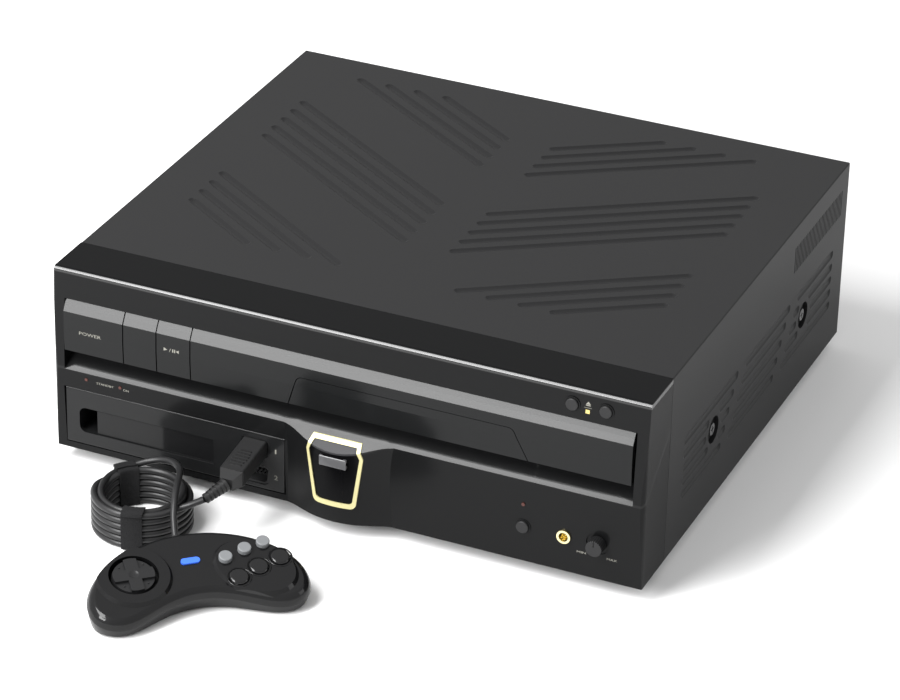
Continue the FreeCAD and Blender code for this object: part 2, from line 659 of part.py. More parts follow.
def phones_jack():
    """Headphone jack: a metal ferrule and its barrel."""
    x, z = PHONES
    rim = cyl(PHONES_R + 1.5, (x, -194.6, z), (x, -188.0, z))
    barrel = cyl(PHONES_R + 2.6, (x, -188.0, z), (x, -174.0, z))
    bore = cyl(PHONES_R, (x, -195.0, z), (x, -194.6 + PHONES_DEPTH, z))
    return fuse([rim, barrel]).cut(bore)


def front_boards():
    """Circuit boards behind the keys and controls, with switches and the level control."""
    key_board = box((2.0 - BAY_HALF, TRAY_X[0] - 5), (-174.0, -172.4), (88.0, BAY_Z1))
    parts = [key_board]
    for i in range(3):
        mid = (KEY_LINES[i] + KEY_LINES[i + 1]) / 2
        parts.append(box((mid - 3, mid + 3), (-176.8, -173.9), (100.0, 106.0)))
    top_board = box((HALF_W - 65, HALF_W - 18), (-176.0, -174.4), (BAY_Z1 + WALL, BODY_Z1 - WALL))
    parts.append(top_board)
    for x, z in TOP_BUTTONS.values():
        parts.append(box((x - 3, x + 3), (-178.4, -175.9), (z - 3, z + 3)))
    low_board = box((HALF_W - 94, HALF_W - 12), (-173.9, -172.3), (BODY_Z0 + 3, 62.0))
    hole = cyl(PHONES_R + 3.0, (PHONES[0], -176, PHONES[1]), (PHONES[0], -170, PHONES[1]))
    parts.append(low_board.cut(hole))
    x, z = MEMORY
    parts.append(box((x - 3, x + 3), (-181.0, -173.8), (z - 3, z + 3)))
    pot = box((KNOB[0] - 6, KNOB[0] + 6), (-184.0, -173.8), (KNOB[1] - 6, KNOB[1] + 6))
    parts.append(pot.cut(cyl(3.0 + RUN_FIT, (KNOB[0], -185, KNOB[1]), (KNOB[0], -178.5, KNOB[1]))))
    return fuse(parts)


# ---- inside the cabinet ----------------------------------------------------------------------------
def pack_bay():
    """Sheet cage that the control pack slides into, open at the front."""
    x = (PACK_X[0] - BAY_CLEAR, PACK_X[1] + BAY_CLEAR)
    z = (PACK_Z[0] - BAY_CLEAR, PACK_Z[1] + BAY_CLEAR)
    t = BAY_SHEET
    y = (-177.0, PACK_Y1 + 6.0)
    outer = box((x[0] - t, x[1] + t), (y[0], y[1] + t), (z[0] - t, z[1] + t))
    inner = box(x, (y[0] - 1, y[1]), z)
    stands = [box((fx, fx + 12), (fy, fy + 12), (FLOOR_TOP, z[0] - t))
              for fx in (PACK_X[0] + 12, PACK_X[1] - 19) for fy in (-120.0, 20.0)]
    socket = box((-150.0, -92.0), (y[1] - 5.0, y[1] + 0.5), (30.0, 42.0))
    return fuse([outer.cut(inner), socket] + stands)


def main_board():
    """Main circuit board on its posts, with chips, cans and a shield."""
    board = box((-30.0, 190.0), (-120.0, 165.0), (20.0, 21.6))
    chips = [box((x, x + 22), (y, y + 16), (21.6, 24.6))
             for x in (5.0, 40.0, 70.0) for y in (-100.0, -50.0, -10.0)]
    cans = [cyl(4.0, (x, y, 21.6), (x, y, 34.0))
            for x in (110.0, 125.0, 140.0) for y in (-105.0, -90.0, -75.0)]
    shield = box((100.0, 170.0), (-40.0, 50.0), (21.6, 40.0))
    board = board.cut(deck_legs(1.5))
    return fuse([board] + chips + cans + [shield])


def power_supply():
    """Power board with transformer, capacitors and finned heat sink."""
    left = 12.0 - HALF_W
    board = box((left, -50.0), (62.0, 160.0), (18.0, 19.6))
    posts = [cyl(3.0, (x, y, FLOOR_TOP), (x, y, 18.5)) for x in (left + 8, -60.0) for y in (70.0, 152.0)]
    core = box((left + 8, left + 64), (72.0, 120.0), (19.6, 66.0))
    coil = box((left + 16, left + 56), (66.0, 126.0), (26.0, 60.0))
    cans = [cyl(9.0, (x, 140.0, 19.6), (x, 140.0, 52.0)) for x in (-120.0, -98.0, -76.0)]
    sink = box((-120.0, -60.0), (88.0, 91.0), (19.6, 70.0))
    fins = [box((x, x + 1.6), (91.0, 106.0), (19.6, 70.0)) for x in range(-119, -68, 10)]
    return fuse([board, core, coil, sink] + posts + cans + fins)


def loader_frame():
    """Pair of channel rails that guide the disc tray, and the frame under the lifting deck."""
    y = (-176.0, 180.0)
    under = (TRAY_Z0 - 4.0, TRAY_Z0 - TRAY_CLEAR)
    over = (TRAY_Z0 + TRAY_T + TRAY_CLEAR, RAIL_TOP)
    made = []
    for s, edge, stands in ((-1, TRAY_X[0], ((-165.0, BAY_TOP), (164.0, FLOOR_TOP))),
                            (1, TRAY_X[1], ((-149.0, FLOOR_TOP), (150.0, FLOOR_TOP)))):
        near, far = edge + s * TRAY_CLEAR, edge + s * (TRAY_CLEAR + RAIL_T)
        web = box(sorted((near, far)), y, (under[0], over[1]))
        low = box(sorted((edge - s * 6.0, far)), y, under)
        high = box(sorted((edge - s * 1.6, far)), y, over)
        legs = [box(sorted((far, far + s * 2.0)), (leg_y, leg_y + 14), (leg_z, TRAY_Z0 + 2))
                for leg_y, leg_z in stands]
        made.append(fuse([web, low, high] + legs))
    return Part.makeCompound(made + [fuse(deck_frame())])


def clamp_bridge():
    """Beam over the tray that carries the disc clamp."""
    y = (DISC_Y - 17.0, DISC_Y + 17.0)
    left, right = TRAY_X[0] - 1.5, TRAY_X[1] + 1.5
    low = RAIL_TOP
    beam = box((left, right), y, (BRIDGE_Z + 4.0, BRIDGE_Z + 6.0))
    legs = [box((left, left + 3), y, (low, BRIDGE_Z + 5)), box((right - 3, right), y, (low, BRIDGE_Z + 5))]
    ribs = [box((left, right), (yy, yy + 2), (BRIDGE_Z + 5.5, BRIDGE_Z + 11)) for yy in (y[0], y[1] - 2)]
    hole = cyl(8.0, (DISC_X, DISC_Y, BRIDGE_Z), (DISC_X, DISC_Y, BRIDGE_Z + 10))
    return cut(fuse([beam] + legs + ribs), [hole])


def disc_clamp():
    """Magnetic clamp disc hanging in the bridge."""
    x, y = DISC_X, DISC_Y
    top = BRIDGE_Z + 6.5
    parts = [cyl(CLAMP_R, (x, y, BRIDGE_Z - 6), (x, y, BRIDGE_Z + 1)),
             cyl(7.6, (x, y, BRIDGE_Z), (x, y, top + 0.5)),
             cyl(12.0, (x, y, top), (x, y, top + 2.5))]
    cone = Part.makeCone(9.0, 6.0, 3.0, V(x, y, BRIDGE_Z - 9))
    grip = box((x + 9, x + 10.5), (y - 0.8, y + 0.8), (top + 2.4, top + 3.2))
    return fuse(parts + [Part.makeCone(5.0, 9.0, 3.0, V(x, y, BRIDGE_Z - 9)), grip])


def disc_plane(x, y, r, z, t):
    """Round recess of a disc."""
    return cyl(r, (x, y, z), (x, y, z + t))


def ld_tray():
    """Large disc tray with its recess, the opening for the small tray and the pickup slot."""
    top = TRAY_Z0 + TRAY_T
    slab = box(TRAY_X, (DOOR_BACK, TRAY_Y1), (TRAY_Z0, top))
    recess = disc_plane(DISC_X, DISC_Y, LD_R + DISC_PLAY, top - 4.0, 6.0)
    half = CD_HALF + TRAY_CLEAR
    opening = box((DISC_X - half, DISC_X + half), (DOOR_BACK - 1, CD_TRAY_Y1 + TRAY_CLEAR),
                  (CD_TRAY_Z0 - TRAY_CLEAR, top + 1))
    under = box((DISC_X - half + 6, DISC_X + half - 6), (DOOR_BACK - 1, CD_TRAY_Y1 - 8),
                (TRAY_Z0 - 1, CD_TRAY_Z0))
    slot = box((DISC_X - SLOT_HALF, DISC_X + SLOT_HALF), (0.0, LD_R + DISC_Y + 8), (TRAY_Z0 - 1, top + 1))
    trim = [box((x, x + 2.0), (-160.0, 150.0), (TRAY_Z0 - 1, TRAY_Z0 + 3))
            for x in (TRAY_X[0] + 30, TRAY_X[1] - 16)]
    tray = cut(slab, [recess, opening, under, slot] + trim + [rack_seat()])
    return fuse([tray] + tray_rack())


def rack_seat():
    """Groove under the tray that the rack's teeth are cut in."""
    left = TRAY_X[0] + 8.0
    return box((left, left + PINION_T + 3), (-182.0, 165.0), (TRAY_Z0 - 1, TRAY_Z0 + 4.5))


def tray_rack():
    """Row of rack teeth that hangs in the tray's groove."""
    bar = box(RACK_X, RACK_Y, (RACK_LINE + MODULE * 1.2, TRAY_Z0 + 4.5))
    teeth = []
    root, tip = PITCH / 2 - BACKLASH / 2 + 0.9, PITCH / 2 - BACKLASH / 2 - 0.9
    first = math.ceil((RACK_Y[0] + 2 - PINION_Y) / PITCH - 0.5)
    last = math.floor((RACK_Y[1] - 2 - PINION_Y) / PITCH - 0.5)
    for i in range(first, last + 1):
        y = PINION_Y + (i + 0.5) * PITCH
        pts = [(y - root / 2, RACK_LINE + MODULE * 1.25), (y + root / 2, RACK_LINE + MODULE * 1.25),
               (y + tip / 2, RACK_LINE - MODULE * 0.9), (y - tip / 2, RACK_LINE - MODULE * 0.9)]
        teeth.append(slab_yz(pts, RACK_X))
    return [bar] + teeth


def disc_door():
    """Wide front of the disc tray with the opening for the small door."""
    plate = key_plate(KEY_LINES[3] + GAP, KEY_LINES[4])
    rows = [(x + (1 if x > DISC_X else -1) * GAP * (1 if z > 100 else 3), z + GAP * (1 if z > 100 else -3))
            for x, z in CD_DOOR]
    hole = slab_xz(rows, (-200.0, DOOR_BACK + 1))
    hole = rounded(hole, 5.0, lambda e: along_y(e) and e.Vertexes[0].Z > 100)
    return plate.cut(hole)


def cd_door():
    """Small door on the front of the compact-disc tray."""
    plate = key_plate(CD_DOOR[3][0] - 1, CD_DOOR[2][0] + 1)
    form = rounded(slab_xz(CD_DOOR, (-200.0, DOOR_BACK + 1)), 4.6,
                   lambda e: along_y(e) and e.Vertexes[0].Z > 100)
    return plate.common(form)


def cd_tray():
    """Small disc tray that rides inside the large one."""
    top = CD_TRAY_Z0 + CD_TRAY_T
    x = (DISC_X - CD_HALF, DISC_X + CD_HALF)
    slab = box(x, (DOOR_BACK, CD_TRAY_Y1), (CD_TRAY_Z0, top))
    recess = disc_plane(DISC_X, DISC_Y, CD_R + 1.5, top - 1.8, 4.0)
    hub = disc_plane(DISC_X, DISC_Y, TABLE_R + 3.0, CD_TRAY_Z0 - 1, CD_TRAY_T + 3)
    slot = box((DISC_X - SLOT_HALF, DISC_X + SLOT_HALF), (DISC_Y, CD_TRAY_Y1 - 6), (CD_TRAY_Z0 - 1, top + 1))
    return cut(slab, [recess, hub, slot])


def mech_deck():
    """Lifting deck of the disc drive with its pickup guide rods."""
    plate = box((DISC_X - DECK_HALF, DISC_X + DECK_HALF), DECK_Y, (DECK_Z, DECK_Z + DECK_T))
    window = box((DISC_X - 30, DISC_X + 30), (DISC_Y + 20, DECK_Y[1] - 8), (DECK_Z - 1, DECK_Z + DECK_T + 1))
    seat = cyl(14.0, (DISC_X, DISC_Y, DECK_Z - 1), (DISC_X, DISC_Y, DECK_Z + 4))
    blocks = []
    for s in (-1, 1):
        x = DISC_X + s * ROD_X
        for y in (DISC_Y + 18, DECK_Y[1] - 6):
            blocks.append(box((x - 5, x + 5), (y - 4, y), (DECK_Z + DECK_T - 0.5, DECK_Z + 11)))
        blocks.append(cyl(ROD_R, (x, DISC_Y + 15, DECK_Z + 7), (x, DECK_Y[1] - 7, DECK_Z + 7)))
    guides = [cyl(GUIDE_R, (DISC_X + s * GUIDE_X, y, FRAME_Z[1] + 0.5), (DISC_X + s * GUIDE_X, y, DECK_Z + 1))
              for s in (-1, 1) for y in GUIDE_Y]
    return fuse([plate.cut(fuse([window, seat]))] + blocks + guides)


def deck_frame():
    """Parts of the raised frame that the lifting deck's guide pins run in."""
    x = (DISC_X - 66.0, DISC_X + 66.0)
    frame = box(x, (DECK_Y[0] + 5, DECK_Y[1] - 5), FRAME_Z)
    frame = frame.cut(box((x[0] + 22, x[1] - 22), (DECK_Y[0] + 30, DECK_Y[1] - 30),
                          (FRAME_Z[0] - 1, FRAME_Z[1] + 1)))
    posts = [ring(6.0, GUIDE_R + RUN_FIT, (DISC_X + s * GUIDE_X, y, FRAME_Z[1] - 1),
                  (DISC_X + s * GUIDE_X, y, DECK_Z - 0.5))
             for s in (-1, 1) for y in GUIDE_Y]
    return [frame] + deck_legs(0.0) + posts


def deck_legs(clear):
    """Four legs under the deck frame, or their clearance holes."""
    xs = (DISC_X - 64.5, DISC_X + 56.5)
    return [box((x - clear, x + 8 + clear), (y - clear, y + 8 + clear), (FLOOR_TOP, FRAME_Z[0] + 0.5))
            for x in xs for y in DECK_LEG_Y]


def spindle_motor():
    """Flat motor under the turntable."""
    x, y = DISC_X, DISC_Y
    can = cyl(13.6, (x, y, DECK_Z - 7), (x, y, DECK_Z + DECK_T))
    flange = cyl(17.0, (x, y, DECK_Z + DECK_T), (x, y, DECK_Z + DECK_T + 2))
    bore = cyl(SPINDLE_R + RUN_FIT, (x, y, DECK_Z - 4), (x, y, DECK_Z + 10))
    return fuse([can, flange]).cut(bore)


def turntable():
    """Turntable with its centring cone and shaft."""
    x, y = DISC_X, DISC_Y
    table = cyl(TABLE_R, (x, y, TABLE_Z), (x, y, TABLE_Z + TABLE_T))
    pad = ring(TABLE_R - 1, TABLE_R - 8, (x, y, TABLE_Z + TABLE_T - 0.1), (x, y, TABLE_Z + TABLE_T + 0.6))
    cone = Part.makeCone(17.0, 12.0, 2.4, V(x, y, TABLE_Z + TABLE_T - 0.1))
    shaft = cyl(SPINDLE_R, (x, y, DECK_Z - 3), (x, y, TABLE_Z + 1))
    notch = cyl(1.5, (x + 20, y, TABLE_Z - 1), (x + 20, y, TABLE_Z + 6))
    return fuse([table, pad, cone, shaft]).cut(notch)


def pickup_sled():
    """Laser pickup carriage on the rods, with its lens."""
    y = (DISC_Y + 36.0, DISC_Y + 66.0)
    z = (DECK_Z + 2.6, DECK_Z + 12.5)
    block = box((DISC_X - 24, DISC_X + 24), y, (DECK_Z - 4, DECK_Z + 15))
    arms = [box(sorted((DISC_X + s * 23.5, DISC_X + s * (ROD_X + 6))), y, z) for s in (-1, 1)]
    bores = [cyl(ROD_R + RUN_FIT, (DISC_X + s * ROD_X, y[0] - 1, DECK_Z + 7),
                 (DISC_X + s * ROD_X, y[1] + 1, DECK_Z + 7))
             for s in (-1, 1)]
    mid = (y[0] + y[1]) / 2
    lens = fuse([cyl(7.0, (DISC_X, mid, DECK_Z + 14.5), (DISC_X, mid, DECK_Z + 18)),
                 cyl(3.2, (DISC_X, mid, DECK_Z + 17.5), (DISC_X, mid, DECK_Z + 19.5))])
    return fuse([block, lens] + arms).cut(fuse(bores))


def loading_motor():
    """Loading motor and the bearing of the tray pinion, on one bracket."""
    x1 = RACK_X[0] - 2.0
    base = BAY_TOP
    bracket = box((x1 - 3.0, x1), (PINION_Y - 14, PINION_Y + 40), (base, PINION_Z + 5))
    foot = box((x1 - 3.0, x1 + 26), (PINION_Y - 14, PINION_Y + 40), (base, base + 1.6))
    hole = cyl(2.0 + RUN_FIT, (x1 - 5, PINION_Y, PINION_Z), (x1 + 1, PINION_Y, PINION_Z))
    can = cyl(6.5, (x1 - 0.2, PINION_Y + 28, base + 10), (x1 + 24, PINION_Y + 28, base + 10))
    return fuse([bracket.cut(hole), foot, can])


def drive_pinion():
    """Pinion that drives the tray's rack, on its stub shaft."""
    root_r, tip_r = PITCH_R - 1.25 * MODULE, PITCH_R + 0.85 * MODULE
    blank = cyl(root_r, (RACK_X[0], PINION_Y, PINION_Z), (RACK_X[1], PINION_Y, PINION_Z))
    parts = [blank]
    for i in range(PINION_TEETH):
        turn = 90.0 + 360.0 * i / PINION_TEETH
        pts = [(root_r - 0.6, 1.55), (PITCH_R, PITCH / 4 - BACKLASH / 4), (tip_r, 0.45)]
        outline = [(r, w) for r, w in pts] + [(r, -w) for r, w in reversed(pts)]
        tooth = face_of([(RACK_X[0], r, w) for r, w in outline]).extrude(V(PINION_T, 0, 0))
        tooth.rotate(V(0, 0, 0), V(1, 0, 0), turn)
        tooth.translate(V(0, PINION_Y, PINION_Z))
        parts.append(tooth)
    shaft = cyl(2.0, (RACK_X[0] - 4.5, PINION_Y, PINION_Z), (RACK_X[0] + 0.5, PINION_Y, PINION_Z))
    return fuse(parts + [shaft])


# ---- control pack ---------------------------------------------------------------------------------
def pack_case():
    """Hollow case of the control pack, open at the front."""
    y = (PACK_FACE_Y + 3.0, PACK_Y1)
    outer = box((PACK_X[0] + 0.6, PACK_X[1] - 0.6), y, (PACK_Z[0] + 0.4, PACK_Z[1] - 0.4))
    w = PACK_WALL
    inner = box((PACK_X[0] + 0.6 + w, PACK_X[1] - 0.6 - w), (y[0] - 1, y[1] - w),
                (PACK_Z[0] + 0.4 + w, PACK_Z[1] - 0.4 - w))
    return outer.cut(inner)


def port_outline(z, grow, y):
    """Socket outline with slanted ends and round corners."""
    w, h = PORT_W / 2 + grow, PORT_H / 2 + grow
    pts = [(PORT_X - w + 1.2, z - h), (PORT_X + w - 1.2, z - h), (PORT_X + w, z + h), (PORT_X - w, z + h)]
    return rounded(slab_xz(pts, y), PORT_R + grow, along_y)


def pack_front():
    """Front plate of the pack with the cartridge slot and the two port openings."""
    plate = box(PACK_X, (PACK_FACE_Y, PACK_FACE_Y + 3.0), PACK_Z)
    plate = rounded(plate, 1.0, lambda e: abs(e.Vertexes[0].Y - PACK_FACE_Y) < 0.01 and along_x(e))
    slot = box(SLOT_X, (PACK_FACE_Y - 1, PACK_FACE_Y + 4), SLOT_Z)
    slot = rounded(slot, 5.0, lambda e: along_y(e) and e.Vertexes[0].X < SLOT_X[0] + 1)
    ports = [port_outline(z, 1.6, (PACK_FACE_Y - 1, PACK_FACE_Y + 4)) for z in PORT_ZS]
    wide = (SLOT_X[0] - 1.5, SLOT_X[1] + 1.5)
    deep = (PACK_FACE_Y + 2.9, PACK_FACE_Y + CART_DEPTH)
    roof = box(wide, deep, (SLOT_Z[1] + 1.2, SLOT_Z[1] + 2.6))
    floor = box(wide, deep, (SLOT_Z[0] - 2.0, SLOT_Z[0]))
    cheeks = [box((x, x + 1.5), deep, (SLOT_Z[0] - 2.0, SLOT_Z[1] + 2.6))
              for x in (SLOT_X[0] - 1.5, SLOT_X[1])]
    return fuse([cut(plate, [slot] + ports), roof, floor] + cheeks)


def along_x(edge):
    """True for a straight edge along X."""
    ends = [v.Point for v in edge.Vertexes]
    return len(ends) == 2 and (ends[0] - ends[1]).cross(V(1, 0, 0)).Length < 1e-6


def cartridge_flap():
    """Sprung flap that closes the cartridge slot, on a pin along its top edge."""
    y, z = FLAP_HINGE
    x = (FLAP_X0 + 0.4, SLOT_X[1] - 0.5)
    leaf = box(x, (FLAP_Y, FLAP_Y + FLAP_T), (SLOT_Z[0] + 0.4, z))
    knuckle = cyl(FLAP_T / 2 - 0.2, (x[0], y, z), (x[1], y, z))
    return fuse([leaf, knuckle])


def pack_board():
    """Circuit board in the pack with the cartridge connector and chips."""
    board = box((PACK_X[0] + 6, PACK_X[1] - 6), (PACK_FACE_Y + CART_DEPTH + 12, PACK_Y1 - 6), (26.0, 27.6))
    y = PACK_FACE_Y + CART_DEPTH
    header = box((SLOT_X[0] + 8, SLOT_X[1] - 8), (y, y + 12.5), (27.0, 40.0))
    mouth = box((SLOT_X[0] + 12, SLOT_X[1] - 12), (y - 1, y + 9), (31.5, 35.5))
    posts = [cyl(3.0, (x, py, PACK_Z[0] + 0.4 + PACK_WALL), (x, py, 26.5))
             for x in (PACK_X[0] + 14, PACK_X[1] - 14)
             for py in (-95.0, 20.0)]
    chips = [box((x, x + 24), (-80.0, -56.0), (27.6, 31.0)) for x in (-180.0, -140.0, -100.0)]
    edge = box((-148.0, -94.0), (PACK_Y1 - 7, PACK_Y1 - 2.1), (26.0, 36.0))
    return fuse([board, header.cut(mouth), edge] + posts + chips)


def port_sockets():
    """Two nine-way sockets behind the pack's front plate."""
    made = []
    for z in PORT_ZS:
        shell = port_outline(z, 1.4, (PACK_FACE_Y + 0.8, PACK_FACE_Y + 13.0))
        hollow = port_outline(z, 0.0, (PACK_FACE_Y - 1, PACK_FACE_Y + 10.0))
        flange = box((PORT_X - 14.5, PORT_X + 14.5), (PACK_FACE_Y + 3.1, PACK_FACE_Y + 5.0),
                     (z - 7.6, z + 7.6))
        pins = []
        for row, count in ((1, 5), (-1, 4)):
            for i in range(count):
                x = PORT_X + (i - (count - 1) / 2) * 2.76
                pz = z + row * 1.4
                pins.append(cyl(0.5, (x, PACK_FACE_Y + 4.0, pz), (x, PACK_FACE_Y + 11.0, pz)))
        made.append(fuse([fuse([shell, flange]).cut(hollow)] + pins))
    return Part.makeCompound(made)


# ---- plug, cord, coil and ties -------------------------------------------------------------------
def port_plug():
    """Moulded plug in the upper port, with its taper and grip ridges."""
    y0 = PACK_FACE_Y - 0.4
    z = PORT_ZS[0]
    drop = (z - PLUG_TIP[2]) * PLUG_BODY / (y0 - PLUG_TIP[1])
    y1 = y0 - PLUG_BODY
    h = PLUG_H / 2
    body = slab_yz([(y0, z - h), (y0, z + h), (y1, z + h - drop), (y1, z - h - drop)],
                   (PORT_X - PLUG_W / 2, PORT_X + PLUG_W / 2))
    body = rounded(body, 1.5, lambda e: e.BoundBox.YLength > 10)
    nose_in = rectangle(y1 + 0.05, PORT_X, z - drop, PLUG_W - 1.2, PLUG_H - 1.2)
    nose_out = rectangle(PLUG_TIP[1], PLUG_TIP[0], PLUG_TIP[2], 9.0, 7.6)
    tongue = port_outline(z, -0.5, (y0 - 0.5, PACK_FACE_Y + 3.2))
    ridges = []
    for i in range(6):
        y = y1 + 5.0 + i * 3.0
        top = z + h - drop * (y0 - y) / PLUG_BODY
        width = PLUG_W / 2 - 3.0 - abs(i - 2.5) * 0.5
        ridges.append(box((PORT_X - width, PORT_X + width), (y - 0.6, y + 0.6), (top - 1.0, top + 0.7)))
    return fuse([body, loft(nose_in, nose_out), tongue] + ridges)


def rectangle(y, x, z, w, h):
    """Upright rectangle facing along Y, as a wire."""
    pts = [(x + i * w / 2, y, z + k * h / 2) for i, k in ((-1, -1), (1, -1), (1, 1), (-1, 1))]
    return Part.makePolygon([V(*p) for p in pts + pts[:1]])


def relief(start, end, r0, r1, ribs):
    """Tapered strain relief with ribs, from its foot to its mouth."""
    a, b = V(*start), V(*end)
    axis = b - a
    length = axis.Length
    core = Part.makeCone(r0 - 0.8, r1 - 0.8, length, a, axis)
    made = [core]
    for i in range(ribs):
        k = (i + 0.5) / ribs
        r = r0 + (r1 - r0) * k
        half = length / ribs * 0.3
        mid = a + axis * k
        step = V(axis).normalize() * half
        made.append(Part.makeCylinder(r, 2 * half, mid - step, axis))
    return fuse(made)


def cord_path(points):
    """Straight runs joined by tangent arcs, with the smallest radius and the length."""
    pts = [V(*p) for p in points]
    edges, start, radii = [], pts[0], []
    for before, corner, after in zip(pts, pts[1:], pts[2:]):
        come, go = (corner - before), (after - corner)
        turn = come.getAngle(go)
        trim = 0.45 * min(come.Length, go.Length)
        radius = trim / math.tan(turn / 2)
        radii.append(radius)
        a = corner - V(come).normalize() * trim
        b = corner + V(go).normalize() * trim
        to_mid = (V(go).normalize() - V(come).normalize()).normalize()
        mid = corner + to_mid * (radius / math.cos(turn / 2) - radius)
        edges += [Part.LineSegment(start, a).toShape(), Part.Arc(a, mid, b).toShape()]
        start = b
    edges.append(Part.LineSegment(start, pts[-1]).toShape())
    wire = Part.Wire(edges)
    print("cord radii", [round(r, 1) for r in radii], "length", round(wire.Length, 1))
    return wire


def cord_tube(points):
    """Round cord along a route."""
    path = cord_path(points)
    first = V(*points[0])
    way = V(*points[1]) - first
    profile = Part.Wire(Part.makeCircle(CORD_D / 2, first, way))
    tube = path.makePipeShell([profile], True, True)
    print("cord volume ratio", round(tube.Volume / (math.pi * CORD_D ** 2 / 4 * path.Length), 4))
    return tube


def cord_coil():
    """Outer shape of the wound coil."""
    x, y = COIL_C
    r_out, r_in = COIL_R + CORD_D / 2, COIL_R - CORD_D * 1.5
    body = ring(r_out, r_in, (x, y, 0.0), (x, y, COIL_TURNS * CORD_D))
    rims = [e for e in body.Edges if e.Closed and abs(e.Curve.Radius - r_out) < 0.1]
    return body.makeFillet(CORD_D / 2 - 0.3, rims)


def coil_ties():
    """Two hook-and-loop straps round the coil's section."""
    x, y = COIL_C
    r_in, r_out = COIL_R - CORD_D * 1.5, COIL_R + CORD_D / 2
    height = COIL_TURNS * CORD_D
    slack = 0.05
    made = []
    for turn in TIES:
        outer = ring(r_out + slack + TIE_T, r_in - slack - TIE_T, (0, 0, 0), (0, 0, height + slack + TIE_T))
        inner = ring(r_out + slack, r_in - slack, (0, 0, -1.0), (0, 0, height + slack))
        strap = outer.cut(inner).common(box((0, 2 * r_out), (-TIE_W / 2, TIE_W / 2), (-1.0, height + 5)))
        strap.rotate(V(0, 0, 0), V(0, 0, 1), turn)
        strap.translate(V(x, y, 0))
        made.append(strap)
    return Part.makeCompound(made)


# ---- hand controller ---------------------------------------------------------------------------------
def pad_turn(shape):
    """Turn and move a shape from upright controller axes to where it lies."""
    shape.rotate(V(0, 0, 0), V(0, 0, 1), PAD_TURN)
    shape.translate(V(PAD_C[0], PAD_C[1], 0))
    return shape


def pad_place(shape):
    """Tilt a shape from the controller's own sloping axes, then turn and move it."""
    v, w = PAD_HEEL
    shape.rotate(V(0, v, w), V(1, 0, 0), PAD_TILT)
    shape.translate(V(0, 0, -w))
    return pad_turn(shape)


def pad_face(inset, z):
    """Controller outline as a flat wire, moved inwards by inset mm."""
    right = [V(u, v, z) for u, v in PAD_OUTLINE]
    loop = right + [V(-p.x, p.y, p.z) for p in reversed(right[1:-1])]
    moved = []
    for before, here, after in zip(loop[-1:] + loop[:-1], loop, loop[1:] + loop[:1]):
        along = (after - before).normalize()
        moved.append(here + V(along.y, -along.x, 0) * inset)
    curve = Part.BSplineCurve()
    curve.interpolate(Points=moved, PeriodicFlag=True)
    return Part.Wire(curve.toShape())


def pad_skin(inset, z0, z1):
    """Solid of the upper shell's form: upright at the seam and leaning in to the top."""
    rise = z1 - z0
    wires = [pad_face(inset, z0), pad_face(inset + 0.7, z0 + rise * 0.35),
             pad_face(inset + 2.6, z0 + rise * 0.78), pad_face(inset + 5.2, z1)]
    return Part.makeLoft(wires, True, False)


def pad_lobes():
    """Raised round plateaux over the cross and over the button group."""
    low, rise = PAD_TOP - 3.0, LOBE_H + 3.0
    left = Part.makeCone(LOBE_R + 2, LOBE_R - 2, rise, V(-LOBE_X, LOBE_Y, low))
    right = Part.makeCone(LOBE_R + 1, LOBE_R - 3, rise, V(0, 0, low))
    matrix = FreeCAD.Matrix()
    matrix.scale(LOBE_LONG, LOBE_SHORT, 1.0)
    right = right.transformGeometry(matrix)
    right.rotate(V(0, 0, 0), V(0, 0, 1), LOBE_TURN)
    right.translate(V(LOBE_X - 0.4, LOBE_Y - 6.3, 0))
    bound = Part.Face(pad_face(2.8, low - 1.0)).extrude(V(0, 0, 12))
    return [left.common(bound), right.common(bound)]


def pad_upper():
    """Upper shell of the controller with its dish and button holes."""
    outer = fuse([pad_skin(0.0, PAD_SEAM, PAD_TOP)] + pad_lobes())
    inner = pad_skin(PAD_WALL, PAD_SEAM - 0.01, PAD_TOP - PAD_WALL)
    low = PAD_TOP - 8
    holes = [Part.makeCylinder(DPAD_R + 1.8, 20, V(-LOBE_X, LOBE_Y, low))]
    for u, v in BUTTONS_LOW.values():
        holes.append(Part.makeCylinder(LOW_R + KEY_CLEAR, 20, V(u, v, low)))
    for u, v in BUTTONS_TOP.values():
        holes.append(Part.makeCylinder(TOP_BTN_R + KEY_CLEAR, 20, V(u, v, low)))
    holes.append(pill(START, START_LEN, START_W + 2 * KEY_CLEAR, (low, PAD_TOP + 8)))
    return pad_place(cut(outer, [inner] + holes))


def pill(centre, length, width, z):
    """Rounded bar lying along the controller's width."""
    u, v = centre
    half = (length - width) / 2
    mid = box((u - half, u + half), (v - width / 2, v + width / 2), z)
    ends = [Part.makeCylinder(width / 2, z[1] - z[0], V(u + s * half, v, z[0])) for s in (-1, 1)]
    return fuse([mid] + ends)


def below(z):
    """Block under a level, round where the controller stands."""
    x, y = PAD_C
    return box((x - 120, x + 120), (y - 120, y + 120), (-60.0, z))


